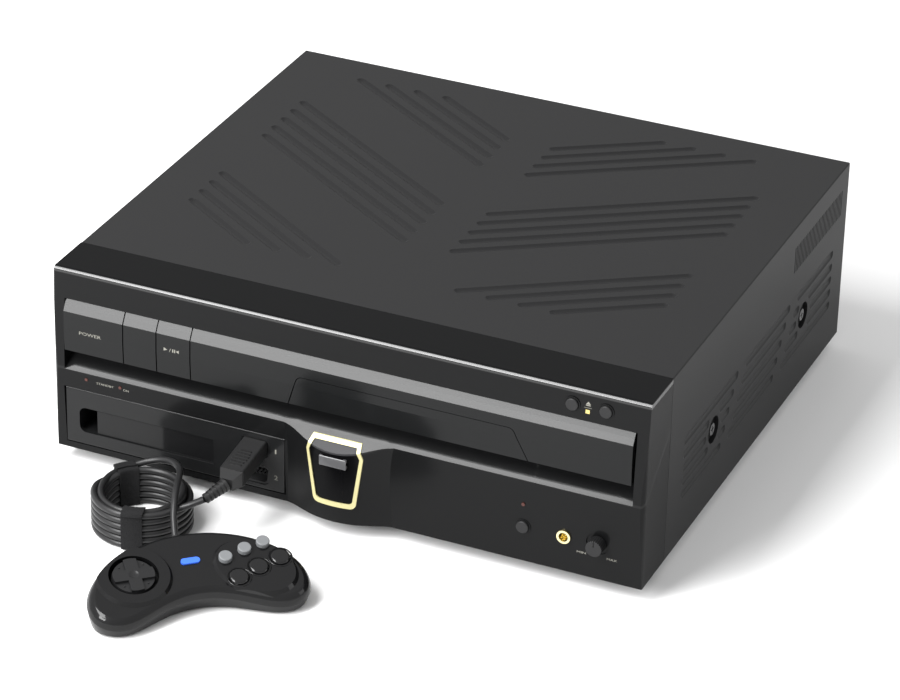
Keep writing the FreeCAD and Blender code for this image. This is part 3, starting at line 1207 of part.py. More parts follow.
def pad_lower():
    """Wedge-shaped lower shell of the controller, with its board posts and its cord hole."""
    depths = ((0.3, 0.3, 0.6), (6.0, 1.2, 1.4), (18.0, 4.6, 4.8), (34.0, 8.0, 8.2))
    outer = Part.makeLoft([pad_face(out, PAD_SEAM - down) for down, out, _ in depths], True, False)
    cavity = [pad_face(PAD_WALL + into, PAD_SEAM - down + 0.3) for down, _, into in depths]
    inner = Part.makeLoft(cavity, True, False)
    posts = [Part.makeCylinder(2.6, 40.0, V(u, v, PAD_BOARD_Z - 40.0)) for u, v in
             ((-54.0, -4.0), (-20.0, -13.0), (20.0, -13.0), (54.0, -4.0), (0.0, 17.0))]
    hull = pad_place(outer).cut(below(PAD_Z0))
    hollow = pad_place(inner).cut(below(PAD_Z0 + PAD_WALL))
    legs = pad_place(fuse(posts)).cut(below(PAD_Z0 + 1.0))
    pads = [pad_turn(Part.makeCylinder(4.0, 2.0, V(u, v, 0)))
            for u, v in ((-52, -30), (52, -30), (-40, 8), (40, 8))]
    foot, mouth = V(*RELIEF_FOOT), V(*RELIEF_MOUTH)
    hole = Part.makeCylinder(5.0, 12.0, foot + (foot - mouth).normalize() * 4.0, mouth - foot)
    return fuse([hull.cut(hollow), legs] + pads).cut(hole)


def pad_board():
    """Circuit board of the controller with its rubber domes."""
    plate = Part.Face(pad_face(8.0, PAD_BOARD_Z)).extrude(V(0, 0, 1.4))
    domes = []
    for u, v in list(BUTTONS_LOW.values()) + list(BUTTONS_TOP.values()) + [START]:
        domes.append(Part.makeCone(3.4, 2.4, 1.8, V(u, v, PAD_BOARD_Z + 1.3)))
    return pad_place(fuse([plate] + domes))


def pad_key(place, r, top, round_off, skirt):
    """Round controller button, with a skirt that keeps it in."""
    u, v = place
    cap = Part.makeCylinder(r, top - KEY_Z, V(u, v, KEY_Z))
    cap = cap.makeFillet(round_off, [e for e in cap.Edges if e.BoundBox.ZMin > top - 0.1])
    return pad_place(fuse([cap, Part.makeCylinder(r + skirt, 1.0, V(u, v, KEY_Z))]))


def start_key():
    """Oblong start button."""
    bar = pill(START, START_LEN - 2 * KEY_CLEAR, START_W, (KEY_Z, PAD_TOP + 1.0))
    return pad_place(bar)


def pad_cross():
    """Direction disc with a raised cross."""
    u, v = -LOBE_X, LOBE_Y
    top = PAD_DECK + 0.8
    dish = Part.makeCone(DPAD_R, DPAD_R - 0.8, 2.6, V(u, v, top - 4.4))
    arm = DPAD_R - 0.8
    bars = [box((u - arm, u + arm), (v - 4.2, v + 4.2), (top - 2.0, top)),
            box((u - 4.2, u + 4.2), (v - arm, v + arm), (top - 2.0, top))]
    cross = fuse(bars).common(Part.makeCylinder(arm, 8, V(u, v, top - 4)))
    dip = Part.makeSphere(9.0, V(u, v, top + 8.4))
    socket = Part.makeSphere(DPAD_BALL_R + 0.25, V(*DPAD_PIVOT))
    neck = Part.makeCylinder(4.6, 2.4, V(u, v, top - 6.4))
    return pad_place(fuse([dish, cross, neck]).cut(fuse([dip, socket])))


def cross_pivot():
    """Post and ball that the direction disc rocks on."""
    u, v, z = DPAD_PIVOT
    ball = Part.makeSphere(DPAD_BALL_R, V(u, v, z))
    post = Part.makeCylinder(1.7, z - PAD_BOARD_Z - 1.8, V(u, v, PAD_BOARD_Z + 1.8))
    return pad_place(fuse([ball, post]))


# ---- all sub-parts ---------------------------------------------------------------------------------
def cabinet_parts():
    """Everything that stays put."""
    return {
        "base_chassis": base_chassis(), "top_cover": top_cover(), "cover_screws": cover_screws(),
        "rear_panel": rear_panel(), "front_fascia": front_fascia(), "sensor_window": sensor_window(),
        "emblem_frame": emblem_frame(), "indicator_lamps": indicator_lamps(), "phones_jack": phones_jack(),
        "feet": feet(), "pack_bay": pack_bay(), "main_board": main_board(), "power_supply": power_supply(),
        "loader_frame": loader_frame(), "clamp_bridge": clamp_bridge(), "front_boards": front_boards(),
        "rear_jacks": rear_jacks(), "mains_inlet": mains_inlet(), "loading_motor": loading_motor(),
    }


def moving_parts():
    """Trays, keys, controls and the disc drive."""
    made = {
        "ld_tray": ld_tray(), "disc_door": disc_door(), "cd_tray": cd_tray(), "cd_door": cd_door(),
        "power_key": front_key(0), "pack_release_key": front_key(1), "play_key": front_key(2),
        "memory_button": small_button(MEMORY[0], MEMORY[1], -195.2), "level_knob": level_knob(),
        "mech_deck": mech_deck(), "spindle_motor": spindle_motor(), "turntable": turntable(),
        "pickup_sled": pickup_sled(), "disc_clamp": disc_clamp(), "drive_pinion": drive_pinion(),
    }
    for name, (x, z) in TOP_BUTTONS.items():
        made[name] = small_button(x, z, -192.4)
    return made


def pack_parts():
    """Control pack, its plug and cord, and the hand controller."""
    made = {
        "pack_case": pack_case(), "pack_front": pack_front(), "cartridge_flap": cartridge_flap(),
        "pack_board": pack_board(), "port_sockets": port_sockets(), "port_plug": port_plug(),
        "plug_relief": relief(PLUG_TIP, LEAD[0], 4.6, 3.4, 6), "cord_lead": cord_tube(LEAD),
        "cord_tail": cord_tube(TAIL), "cord_coil": cord_coil(), "coil_ties": coil_ties(),
        "pad_relief": relief(RELIEF_FOOT, RELIEF_MOUTH, 4.4, 3.4, 6), "pad_upper": pad_upper(),
        "pad_lower": pad_lower(), "pad_board": pad_board(), "pad_cross": pad_cross(),
        "cross_pivot": cross_pivot(), "start_button": start_key(),
    }
    for name, place in BUTTONS_LOW.items():
        made[name] = pad_key(place, LOW_R, PAD_DECK + 1.6, 1.5, 0.5)
    for name, place in BUTTONS_TOP.items():
        made[name] = pad_key(place, TOP_BTN_R, PAD_DECK + 3.0, 0.8, 0.0)
    return made


def origin_shift():
    """Move along Y that centres the whole part, controller to rear sockets, on the origin."""
    outline = pad_place(pad_face(0.0, PAD_SEAM))
    front = min(p.y for p in outline.discretize(720))
    return -(front + REAR_Y + JACK_REACH) / 2


def main():
    """Write one file for each sub-part."""
    os.makedirs("parts", exist_ok=True)
    shift = V(0, origin_shift(), 0)
    print("origin shift", round(shift.y, 3))
    for name, shape in {**cabinet_parts(), **moving_parts(), **pack_parts()}.items():
        if not shape.isValid():
            print("not valid:", name)
        shape.translate(shift)
        shape.exportStep(os.path.join("parts", name + ".step"))


main()
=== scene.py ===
"""Front-loading disc player with a plug-in control pack and a wired hand controller.

Dresses the loaded frame: finishes for every solid, the wound lead with its straps,
the printed marks, the sensor window's plate, the controller's small trim, and the
studio round them. Lengths are in metres in the frame of the solids, or in millimetres
from the cabinet's own middle where a docstring says so.
"""

from __future__ import annotations

import logging
import math
from dataclasses import dataclass
from enum import Enum
from typing import Callable, Iterable, Optional, Sequence, Union

import bmesh
import bpy
from mathutils import Matrix, Vector

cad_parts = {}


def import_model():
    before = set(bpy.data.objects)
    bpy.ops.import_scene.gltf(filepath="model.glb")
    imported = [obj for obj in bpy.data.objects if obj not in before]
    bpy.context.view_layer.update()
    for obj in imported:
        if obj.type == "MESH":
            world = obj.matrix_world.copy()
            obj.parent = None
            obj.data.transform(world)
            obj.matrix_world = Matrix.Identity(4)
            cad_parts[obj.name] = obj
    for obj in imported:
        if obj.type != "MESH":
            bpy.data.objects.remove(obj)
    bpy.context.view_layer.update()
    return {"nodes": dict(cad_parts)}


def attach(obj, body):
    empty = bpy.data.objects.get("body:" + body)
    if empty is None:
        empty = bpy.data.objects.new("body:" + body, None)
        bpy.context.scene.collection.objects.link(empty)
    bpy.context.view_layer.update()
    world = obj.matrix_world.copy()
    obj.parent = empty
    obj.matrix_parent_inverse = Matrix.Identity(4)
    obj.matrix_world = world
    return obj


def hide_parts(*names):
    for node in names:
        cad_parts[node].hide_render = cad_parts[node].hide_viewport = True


LOG = logging.getLogger("player")

Point = tuple[float, float, float]
Colour = tuple[float, float, float]
Number = Union[float, "Shade"]

MM = 0.001
BACK = 0.090731           # the solids stand this much further back than the cabinet's own middle

LEDGE_SLOPE = 0.87        # rise of the front's ledge for each metre further back
LEDGE_Z = 0.0705 + (0.1947 - BACK) * LEDGE_SLOPE    # height of the ledge's plane at y = 0
LEDGE_BAND = (-0.0006, 0.0012)    # heights off that plane that belong to the ledge
LEDGE_LOW = 0.055         # nothing under this height belongs to it
LEDGE_GLOSS = 0.2         # coat weight that it adds
FOLD_DROP = 0.0004        # the window's fold begins this far under the ledge's plane
EDGE_Z = 0.1405           # the header's rounded top edge begins here
EDGE_GLOSS = 0.95         # its coat weight
STRIP_FADE = (0.1429, 0.14385)    # heights between which the coat fades to the flat top strip


def place(x: float, y: float, z: float) -> Point:
    """A point in millimetres from the cabinet's middle, in the scene's metres."""
    return (x * MM, y * MM + BACK, z * MM)


# ---- shader maths --------------------------------------------------------------------------
class Shade:
    """A socket of a material's nodes that takes Python's own operators."""

    def __init__(self, tree: bpy.types.NodeTree, socket: bpy.types.NodeSocket) -> None:
        """Wrap one output socket."""
        self.tree = tree
        self.socket = socket

    def _maths(self, operation: str, first: Number, second: Number) -> Shade:
        """Add one Math node.

        Args:
            operation: the Math node's operation.
            first: left value or shade.
            second: right value or shade.

        Returns:
            The node's output.
        """
        node = self.tree.nodes.new("ShaderNodeMath")
        node.operation = operation
        for slot, value in zip(node.inputs, (first, second)):
            if isinstance(value, Shade):
                self.tree.links.new(value.socket, slot)
            else:
                slot.default_value = value
        return Shade(self.tree, node.outputs[0])

    def __add__(self, other: Number) -> Shade:
        """Sum."""
        return self._maths("ADD", self, other)

    __radd__ = __add__

    def __sub__(self, other: Number) -> Shade:
        """Difference."""
        return self._maths("SUBTRACT", self, other)

    def __rsub__(self, other: Number) -> Shade:
        """Difference, reflected."""
        return self._maths("SUBTRACT", other, self)

    def __mul__(self, other: Number) -> Shade:
        """Product."""
        return self._maths("MULTIPLY", self, other)

    __rmul__ = __mul__

    def __gt__(self, other: Number) -> Shade:
        """Mask of where this is the larger."""
        return self._maths("GREATER_THAN", self, other)

    def __lt__(self, other: Number) -> Shade:
        """Mask of where this is the smaller."""
        return self._maths("LESS_THAN", self, other)

    def larger(self, other: Number) -> Shade:
        """The larger of the two."""
        return self._maths("MAXIMUM", self, other)

    def power(self, other: Number) -> Shade:
        """Power."""
        return self._maths("POWER", self, other)

    def sine(self) -> Shade:
        """Sine."""
        return self._maths("SINE", self, 0.0)


class Recipe:
    """The node tree of one material, with the shader at its end."""

    def __init__(self, name: str) -> None:
        """Start a material that has only its shader and its output."""
        self.material = bpy.data.materials.new(name)
        self.material.use_nodes = True
        self.tree = self.material.node_tree
        self.shader = next(n for n in self.tree.nodes if n.type == "BSDF_PRINCIPLED")

    def node(self, kind: str, settings: Optional[dict] = None,
             sockets: Optional[dict] = None, out: Union[int, str] = 0) -> Shade:
        """Add a node.

        Args:
            kind: the node's type name.
            settings: its properties, set first; "stops" fills a colour ramp.
            sockets: values or shades by socket name.
            out: the output wanted.

        Returns:
            The output as a shade.
        """
        node = self.tree.nodes.new(kind)
        for key, value in (settings or {}).items():
            if key == "stops":
                ramp = node.color_ramp.elements
                while len(ramp) < len(value):
                    ramp.new(0.5)
                for stop, (at, colour) in zip(ramp, value):
                    stop.position = at
                    stop.color = (*colour, 1.0)
            else:
                setattr(node, key, value)
        for key, value in (sockets or {}).items():
            if isinstance(value, Shade):
                self.tree.links.new(value.socket, node.inputs[key])
            else:
                node.inputs[key].default_value = value
        return Shade(self.tree, node.outputs[out])

    def feed(self, name: str, value: Union[Shade, float, tuple]) -> None:
        """Give one of the shader's sockets a shade or a constant."""
        if isinstance(value, Shade):
            self.tree.links.new(value.socket, self.shader.inputs[name])
        else:
            self.shader.inputs[name].default_value = value

    def where(self, stretch: Point = (1.0, 1.0, 1.0), turn: Point = (0.0, 0.0, 0.0)) -> Shade:
        """Object coordinates, stretched and turned."""
        spot = self.node("ShaderNodeTexCoord", out="Object")
        return self.node("ShaderNodeMapping", {}, {"Vector": spot, "Scale": stretch, "Rotation": turn})

    def noise(self, spot: Shade, scale: float, detail: float = 3.0, rough: float = 0.5) -> Shade:
        """Fractal noise from 0 to 1."""
        return self.node("ShaderNodeTexNoise", {},
                         {"Vector": spot, "Scale": scale, "Detail": detail, "Roughness": rough})

    def axis(self, spot: Shade, name: str) -> Shade:
        """One coordinate of a vector shade, by the letter X, Y or Z."""
        return self.node("ShaderNodeSeparateXYZ", {}, {"Vector": spot}, out=name)

    def blend(self, factor: Shade, low: Colour, high: Colour) -> Shade:
        """Colour that runs from one to another."""
        return self.node("ShaderNodeMix", {"data_type": "RGBA"},
                         {0: factor, 6: (*low, 1.0), 7: (*high, 1.0)}, out=2)

    def emboss(self, height: Shade, depth: float, strength: float = 1.0,
               under: Optional[Shade] = None) -> Shade:
        """Bump from a height, on top of another one if it is given."""
        sockets: dict = {"Height": height, "Distance": depth, "Strength": strength}
        if under is not None:
            sockets["Normal"] = under
        return self.node("ShaderNodeBump", {}, sockets)


# ---- finishes ----------------------------------------------------------------------------------
class Grain(Enum):
    """What a surface's fine structure is."""

    MOULDED = "fine moulding texture"
    BEZEL = "front moulding with a dulled top strip"
    # LENS: dark window whose upward fold over the ledge gets a lighter grey as a painted highlight
    LENS = "dark window with a smoke-grey fold"
    PAINTED = "sprayed paint"
    POLISHED = "polished mould"
    BRUSHED = "brushed or rolled metal"
    TURNED = "turned metal"
    HOOKS = "hook-and-loop pile"
    TRACKS = "circuit tracks under lacquer"
    SHEATH = "drawn cord sheath"


def scaled(colour: Colour, by: float) -> Colour:
    """A colour made lighter or darker."""
    return (colour[0] * by, colour[1] * by, colour[2] * by)


@dataclass(frozen=True)
class Finish:
    """One surface finish, with its colour, sheen and grain.

    Attributes:
        name: material name.
        colour: linear base colour.
        rough: mean roughness.
        grain: fine structure.
        fine: grains per metre.
        depth: grain height in metres.
        mottle: share that the colour varies by.
        specular: reflection level of the bare surface.
        metal: metallic share.
        coat: weight of the gloss layer.
        coat_rough: roughness of the gloss layer.
        ior: refractive index of the bare surface, low where it is matt and dark.
        second: second colour, where the grain has one.
    """

    name: str
    colour: Colour
    rough: float
    grain: Grain = Grain.MOULDED
    fine: float = 900.0
    depth: float = 0.00002
    mottle: float = 0.08
    specular: float = 0.3
    metal: float = 0.0
    coat: float = 0.0
    coat_rough: float = 0.12
    ior: float = 1.45
    second: Colour = (0.0, 0.0, 0.0)

    def build(self) -> bpy.types.Material:
        """Make the material."""
        recipe = Recipe(self.name)
        recipe.feed("Specular IOR Level", self.specular)
        recipe.feed("Metallic", self.metal)
        recipe.feed("IOR", self.ior)
        recipe.feed("Coat Weight", self.coat)
        recipe.feed("Coat Roughness", self.coat_rough)
        GRAINS[self.grain](self, recipe)
        return recipe.material

    def tint(self, recipe: Recipe, cloud: Shade) -> None:
        """Vary the base colour with a cloud from 0 to 1."""
        recipe.feed("Base Color", recipe.blend(cloud, scaled(self.colour, 1 - self.mottle),
                                               scaled(self.colour, 1 + self.mottle)))


def moulded(finish: Finish, recipe: Recipe) -> None:
    """Plastic with a fine even texture and slow drifts of sheen."""
    spot = recipe.where()
    drift = recipe.noise(spot, 9.0, 4.0)
    grain = recipe.noise(spot, finish.fine, 2.0, 0.6)
    finish.tint(recipe, drift)
    recipe.feed("Roughness", drift * 0.08 + (finish.rough - 0.04) + grain * 0.03)
    recipe.feed("Normal", recipe.emboss(grain, finish.depth))


def bezel(finish: Finish, recipe: Recipe) -> None:
    """Moulded front: most gloss on its top edge and its ledge, none on the flat top strip."""
    moulded(finish, recipe)
    spot = recipe.where()
    high = recipe.axis(spot, "Z")
    above = high - recipe.axis(spot, "Y") * LEDGE_SLOPE - LEDGE_Z
    ledge = (above > LEDGE_BAND[0]) * (LEDGE_BAND[1] - above > 0.0) * (high > LEDGE_LOW)
    strip = recipe.node("ShaderNodeMapRange", {"interpolation_type": "SMOOTHSTEP"},
                        {0: high, 1: STRIP_FADE[0], 2: STRIP_FADE[1], 3: 1.0, 4: 0.0})
    gloss = (high > EDGE_Z) * (EDGE_GLOSS - finish.coat) + ledge * LEDGE_GLOSS + finish.coat
    recipe.feed("Coat Weight", strip * gloss)


def lens(finish: Finish, recipe: Recipe) -> None:
    """Dark window with a lighter grey painted on its upper part where it folds over the ledge: a painted
    highlight.
    """
    polished(finish, recipe)
    spot = recipe.where()
    brink = recipe.axis(spot, "Y") * LEDGE_SLOPE + (LEDGE_Z - FOLD_DROP)
    fold = recipe.axis(spot, "Z") > brink
    # lighter base colour above the ledge's plane: a painted highlight on the upward fold
    recipe.feed("Base Color", recipe.blend(fold, finish.colour, finish.second))


def painted(finish: Finish, recipe: Recipe) -> None:
    """Sprayed paint: fine fleck, soft orange peel and slight dulling in drifts."""
    spot = recipe.where()
    drift = recipe.noise(spot, 5.0, 3.0)
    fleck = recipe.noise(spot, finish.fine, 1.0)
    peel = recipe.noise(spot, finish.fine * 0.28, 2.0, 0.4)
    finish.tint(recipe, drift * 0.6 + fleck * 0.4)
    recipe.feed("Roughness", drift * 0.1 + (finish.rough - 0.05))
    under = recipe.emboss(peel, finish.depth * 1.5, 0.6)
    recipe.feed("Normal", recipe.emboss(fleck, finish.depth, 0.7, under))


def polished(finish: Finish, recipe: Recipe) -> None:
    """Smooth moulding with faint handling haze."""
    spot = recipe.where()
    haze = recipe.noise(spot, 22.0, 5.0, 0.6)
    wave = recipe.noise(spot, 60.0, 1.0)
    finish.tint(recipe, haze)
    recipe.feed("Roughness", haze.power(2.0) * 0.14 + finish.rough)
    recipe.feed("Normal", recipe.emboss(wave, finish.depth))


def brushed(finish: Finish, recipe: Recipe) -> None:
    """Rolled or brushed metal, its lines along X."""
    lines = recipe.noise(recipe.where((6.0, 420.0, 420.0)), 1.0, 3.0, 0.65)
    patch = recipe.noise(recipe.where(), 30.0, 2.0)
    finish.tint(recipe, lines * 0.6 + patch * 0.4)
    recipe.feed("Roughness", lines * 0.16 + (finish.rough - 0.08) + patch * 0.06)
    recipe.feed("Normal", recipe.emboss(lines, finish.depth))


def turned(finish: Finish, recipe: Recipe) -> None:
    """Turned metal with fine rings round the Y axis and specks of tarnish."""
    spot = recipe.where()
    rings = recipe.noise(recipe.where((900.0, 40.0, 900.0)), 1.0, 2.0)
    tarnish = recipe.noise(spot, 400.0, 3.0)
    finish.tint(recipe, tarnish)
    recipe.feed("Roughness", rings * 0.12 + (finish.rough - 0.06) + tarnish * 0.05)
    recipe.feed("Normal", recipe.emboss(rings, finish.depth))


def hooks(finish: Finish, recipe: Recipe) -> None:
    """Napped strap: short loops in rows, with painted shade down between the loops and a painted highlight
    on their tips.
    """
    spot = recipe.where()
    tufts = recipe.node("ShaderNodeTexVoronoi", {"feature": "F1"},
                        {"Vector": spot, "Scale": finish.fine, "Randomness": 0.85}, out="Distance")
    fuzz = recipe.noise(spot, finish.fine * 2.3, 3.0, 0.7)
    # the loops' height also sets the base colour: painted shade between loops, painted highlight on the
    # tips
    tips = (1.0 - tufts) * 0.65 + fuzz * 0.35
    recipe.feed("Base Color", recipe.blend(tips, scaled(finish.colour, 0.35), scaled(finish.colour, 1.7)))
    recipe.feed("Roughness", fuzz * 0.1 + (finish.rough - 0.05))
    recipe.feed("Normal", recipe.emboss(tips, finish.depth))


def tracks(finish: Finish, recipe: Recipe) -> None:
    """Lacquered board with rows of copper tracks and round pads showing through."""
    spot = recipe.where()
    bend = recipe.noise(spot, 45.0, 1.0)
    lane = (recipe.axis(spot, "Y") * 1400.0 + bend * 9.0).sine()
    across = (recipe.axis(spot, "X") * 900.0 + bend * 7.0).sine()
    zone = recipe.noise(spot, 28.0, 0.0) > 0.5
    copper = (lane > 0.35) * zone + (across > 0.45) * (1.0 - zone)
    pads = recipe.node("ShaderNodeTexVoronoi", {"feature": "F1"},
                       {"Vector": spot, "Scale": 330.0, "Randomness": 0.0}, out="Distance") < 0.22
    solder = recipe.blend(copper, finish.colour, finish.second)
    both = recipe.node("ShaderNodeMix", {"data_type": "RGBA"},
                       {0: pads, 6: solder, 7: (0.42, 0.43, 0.44, 1.0)}, out=2)
    recipe.feed("Base Color", both)
    recipe.feed("Roughness", finish.rough - pads * 0.1)
    recipe.feed("Normal", recipe.emboss(copper + pads, finish.depth))


def sheath(finish: Finish, recipe: Recipe) -> None:
    """Drawn cord sheath: satin, with faint lengthwise drag and a little bloom."""
    spot = recipe.where()
    bloom = recipe.noise(spot, 70.0, 4.0)
    drag = recipe.noise(spot, finish.fine, 1.0)
    finish.tint(recipe, bloom)
    recipe.feed("Roughness", bloom * 0.12 + (finish.rough - 0.06))
    recipe.feed("Normal", recipe.emboss(drag, finish.depth))


GRAINS: dict[Grain, Callable[[Finish, Recipe], None]] = {
    Grain.MOULDED: moulded,
    Grain.BEZEL: bezel,
    Grain.LENS: lens,
    Grain.PAINTED: painted,
    Grain.POLISHED: polished,
    Grain.BRUSHED: brushed,
    Grain.TURNED: turned,
    Grain.HOOKS: hooks,
    Grain.TRACKS: tracks,
    Grain.SHEATH: sheath,
}


@dataclass(frozen=True)
class Palette:
    """Every finish of the player and its controller."""

    cover: Finish = Finish("cover paint", (0.0104, 0.0104, 0.0108), 0.5, Grain.PAINTED, 2600.0, 0.00001,
                           0.05, 0.5, coat=0.16, coat_rough=0.28, ior=1.15)
    front: Finish = Finish("front moulding", (0.0036, 0.0037, 0.0039), 0.45, Grain.BEZEL, 2200.0, 0.000005,
                           0.06, 0.5, coat=0.18, coat_rough=0.13, ior=1.12)
    keys: Finish = Finish("key moulding", (0.0044, 0.0047, 0.0049), 0.45, Grain.MOULDED, 2600.0, 0.000004,
                          0.06, 0.5, coat=0.34, coat_rough=0.12, ior=1.1)
    pack: Finish = Finish("pack moulding", (0.0065, 0.0067, 0.007), 0.45, Grain.MOULDED, 2000.0, 0.000006,
                          0.06, 0.5, coat=0.35, coat_rough=0.16, ior=1.15)
    flap: Finish = Finish("flap moulding", (0.005, 0.0051, 0.0054), 0.4, Grain.POLISHED, 1500.0, 0.000004,
                          0.06, 0.5, coat=0.35, coat_rough=0.1, ior=1.15)
    # second: lighter grey painted on the window's fold over the ledge, a painted highlight
    window: Finish = Finish("sensor window", (0.0022, 0.0022, 0.0025), 0.12, Grain.LENS, 800.0, 0.000002,
                            0.0, 0.5, ior=1.16, second=(0.03, 0.03, 0.032))
    gold: Finish = Finish("pale gold", (0.5, 0.46, 0.235), 0.3, Grain.BRUSHED, 900.0, 0.000002,
                          0.04, 0.5, metal=0.25)
    contact: Finish = Finish("gilt contact", (0.84, 0.74, 0.42), 0.26, Grain.BRUSHED, 900.0, 0.000002,
                             0.05, 0.5, metal=1.0)
    zinc: Finish = Finish("plated steel", (0.52, 0.53, 0.53), 0.36, Grain.BRUSHED, 900.0, 0.000006,
                          0.1, 0.5, metal=1.0)
    screw: Finish = Finish("blackened screw", (0.12, 0.12, 0.122), 0.34, Grain.TURNED, 900.0, 0.00001,
                           0.2, 0.5, metal=1.0)
    board: Finish = Finish("circuit board", (0.012, 0.075, 0.032), 0.34, Grain.TRACKS, 900.0, 0.00003,
                           0.1, 0.4, second=(0.03, 0.16, 0.06))
    supply: Finish = Finish("supply board", (0.2, 0.13, 0.045), 0.42, Grain.TRACKS, 900.0, 0.00003,
                            0.1, 0.35, second=(0.32, 0.2, 0.07))
    rubber: Finish = Finish("foot rubber", (0.014, 0.014, 0.014), 0.7, Grain.MOULDED, 1200.0, 0.00003,
                            0.12, 0.25)
    cord: Finish = Finish("cord sheath", (0.0135, 0.0135, 0.014), 0.36, Grain.SHEATH, 1600.0, 0.000006,
                          0.1, 0.35)
    strap: Finish = Finish("napped strap", (0.011, 0.011, 0.0115), 0.9, Grain.HOOKS, 1500.0, 0.00035,
                           0.2, 0.15)
    plug: Finish = Finish("plug moulding", (0.013, 0.013, 0.0133), 0.4, Grain.MOULDED, 1500.0, 0.000015,
                          0.1, 0.35)
    shell: Finish = Finish("controller shell", (0.0045, 0.0045, 0.0048), 0.4, Grain.MOULDED, 2400.0,
                           0.000003, 0.06, 0.5, coat=0.42, coat_rough=0.07, ior=1.12)
    cross: Finish = Finish("direction disc", (0.0095, 0.0095, 0.01), 0.3, Grain.MOULDED, 1800.0, 0.000006,
                           0.08, 0.32)
    grey: Finish = Finish("grey button", (0.14, 0.145, 0.15), 0.45, Grain.MOULDED, 1500.0, 0.00001,
                          0.06, 0.35)
    black: Finish = Finish("black button", (0.0035, 0.0035, 0.0038), 0.3, Grain.POLISHED, 800.0, 0.000003,
                           0.1, 0.5, coat=0.6, coat_rough=0.05, ior=1.15)
    blue: Finish = Finish("blue button", (0.04, 0.13, 0.66), 0.38, Grain.MOULDED, 1500.0, 0.00001,
                          0.06, 0.35)
    tray: Finish = Finish("tray moulding", (0.016, 0.016, 0.0165), 0.5, Grain.MOULDED, 900.0, 0.00003,
                          0.1, 0.3)
    deck: Finish = Finish("deck steel", (0.48, 0.48, 0.49), 0.34, Grain.BRUSHED, 900.0, 0.000006,
                          0.1, 0.5, metal=1.0)
    white: Finish = Finish("natural acetal", (0.74, 0.73, 0.69), 0.42, Grain.MOULDED, 900.0, 0.00002,
                           0.05, 0.35)
    dark: Finish = Finish("black fittings", (0.011, 0.011, 0.0115), 0.48, Grain.MOULDED, 1500.0, 0.00002,
                          0.1, 0.3)
    lamp: Finish = Finish("lamp lens", (0.05, 0.012, 0.008), 0.16, Grain.POLISHED, 900.0, 0.000004,
                          0.1, 0.45)
    smoke: Finish = Finish("smoke-grey lens", (0.06, 0.06, 0.063), 0.3, Grain.POLISHED, 900.0, 0.000003,
                           0.08, 0.5, coat=0.6, coat_rough=0.2)
    ink: Finish = Finish("warm grey ink", (0.2, 0.195, 0.17), 0.5, Grain.MOULDED, 900.0, 0.000004,
                         0.06, 0.3)
    gilt_ink: Finish = Finish("gilt ink", (0.5, 0.4, 0.14), 0.42, Grain.MOULDED, 900.0, 0.000004,
                              0.06, 0.4)


PALETTE = Palette()
DRESSED: tuple[tuple[Finish, tuple[str, ...]], ...] = (
    (PALETTE.cover, ("top_cover", "rear_panel")),
    (PALETTE.front, ("front_fascia",)),
    (PALETTE.zinc, ("base_chassis", "pack_bay", "loading_motor", "spindle_motor", "pack_case")),
    (PALETTE.screw, ("cover_screws",)),
    (PALETTE.window, ("sensor_window",)),
    (PALETTE.gold, ("emblem_frame",)),
    (PALETTE.lamp, ("indicator_lamps",)),
    (PALETTE.contact, ("phones_jack",)),
    (PALETTE.rubber, ("feet", "turntable")),
    (PALETTE.board, ("main_board", "front_boards", "pack_board")),
    (PALETTE.supply, ("power_supply",)),
    (PALETTE.deck, ("loader_frame", "clamp_bridge", "mech_deck")),
    (PALETTE.dark, ("rear_jacks", "mains_inlet", "memory_button", "open_button", "stop_button",
                    "level_knob", "pickup_sled", "port_sockets", "pad_board", "cross_pivot")),
    (PALETTE.tray, ("ld_tray", "cd_tray")),
    (PALETTE.keys, ("disc_door", "cd_door", "power_key", "pack_release_key", "play_key")),
    (PALETTE.white, ("disc_clamp", "drive_pinion")),
    (PALETTE.pack, ("pack_front",)),
    (PALETTE.flap, ("cartridge_flap",)),
    (PALETTE.plug, ("port_plug", "plug_relief", "pad_relief")),
    (PALETTE.cord, ("cord_lead", "cord_tail", "cord_coil")),
    (PALETTE.strap, ("coil_ties",)),
    (PALETTE.shell, ("pad_upper", "pad_lower")),
    (PALETTE.cross, ("pad_cross",)),
    (PALETTE.blue, ("start_button",)),
    (PALETTE.black, ("button_a", "button_b", "button_c")),
    (PALETTE.grey, ("button_x", "button_y", "button_z")),
)
SOLID_FINISH: dict[str, Finish] = {node: look for look, nodes in DRESSED for node in nodes}


class Wardrobe:
    """Builds each finish once and puts it on objects."""

    def __init__(self) -> None:
        """Start with nothing built."""
        self.built: dict[str, bpy.types.Material] = {}

    def get(self, finish: Finish) -> bpy.types.Material:
        """The finish's material."""
        if finish.name not in self.built:
            self.built[finish.name] = finish.build()
        return self.built[finish.name]

    def dress(self, thing: bpy.types.Object, finish: Finish) -> None:
        """Cover a whole object with one finish."""
        thing.data.materials.clear()
        thing.data.materials.append(self.get(finish))


# ---- shaping helpers -----------------------------------------------------------------------
def clear_selection() -> None:
    """Deselect everything."""
    bpy.ops.object.select_all(action="DESELECT")


def pick(thing: bpy.types.Object) -> None:
    """Make one object the only selected and active one."""
    clear_selection()
    thing.select_set(True)
    bpy.context.view_layer.objects.active = thing


def settle(thing: bpy.types.Object) -> None:
    """Put an object's place into its mesh, so that the object sits at the origin."""
    pick(thing)
    bpy.ops.object.transform_apply(location=True, rotation=True, scale=True)


def apply_all(thing: bpy.types.Object) -> None:
    """Apply an object's modifiers in order."""
    pick(thing)
    for modifier in list(thing.modifiers):
        bpy.ops.object.modifier_apply(modifier=modifier.name)


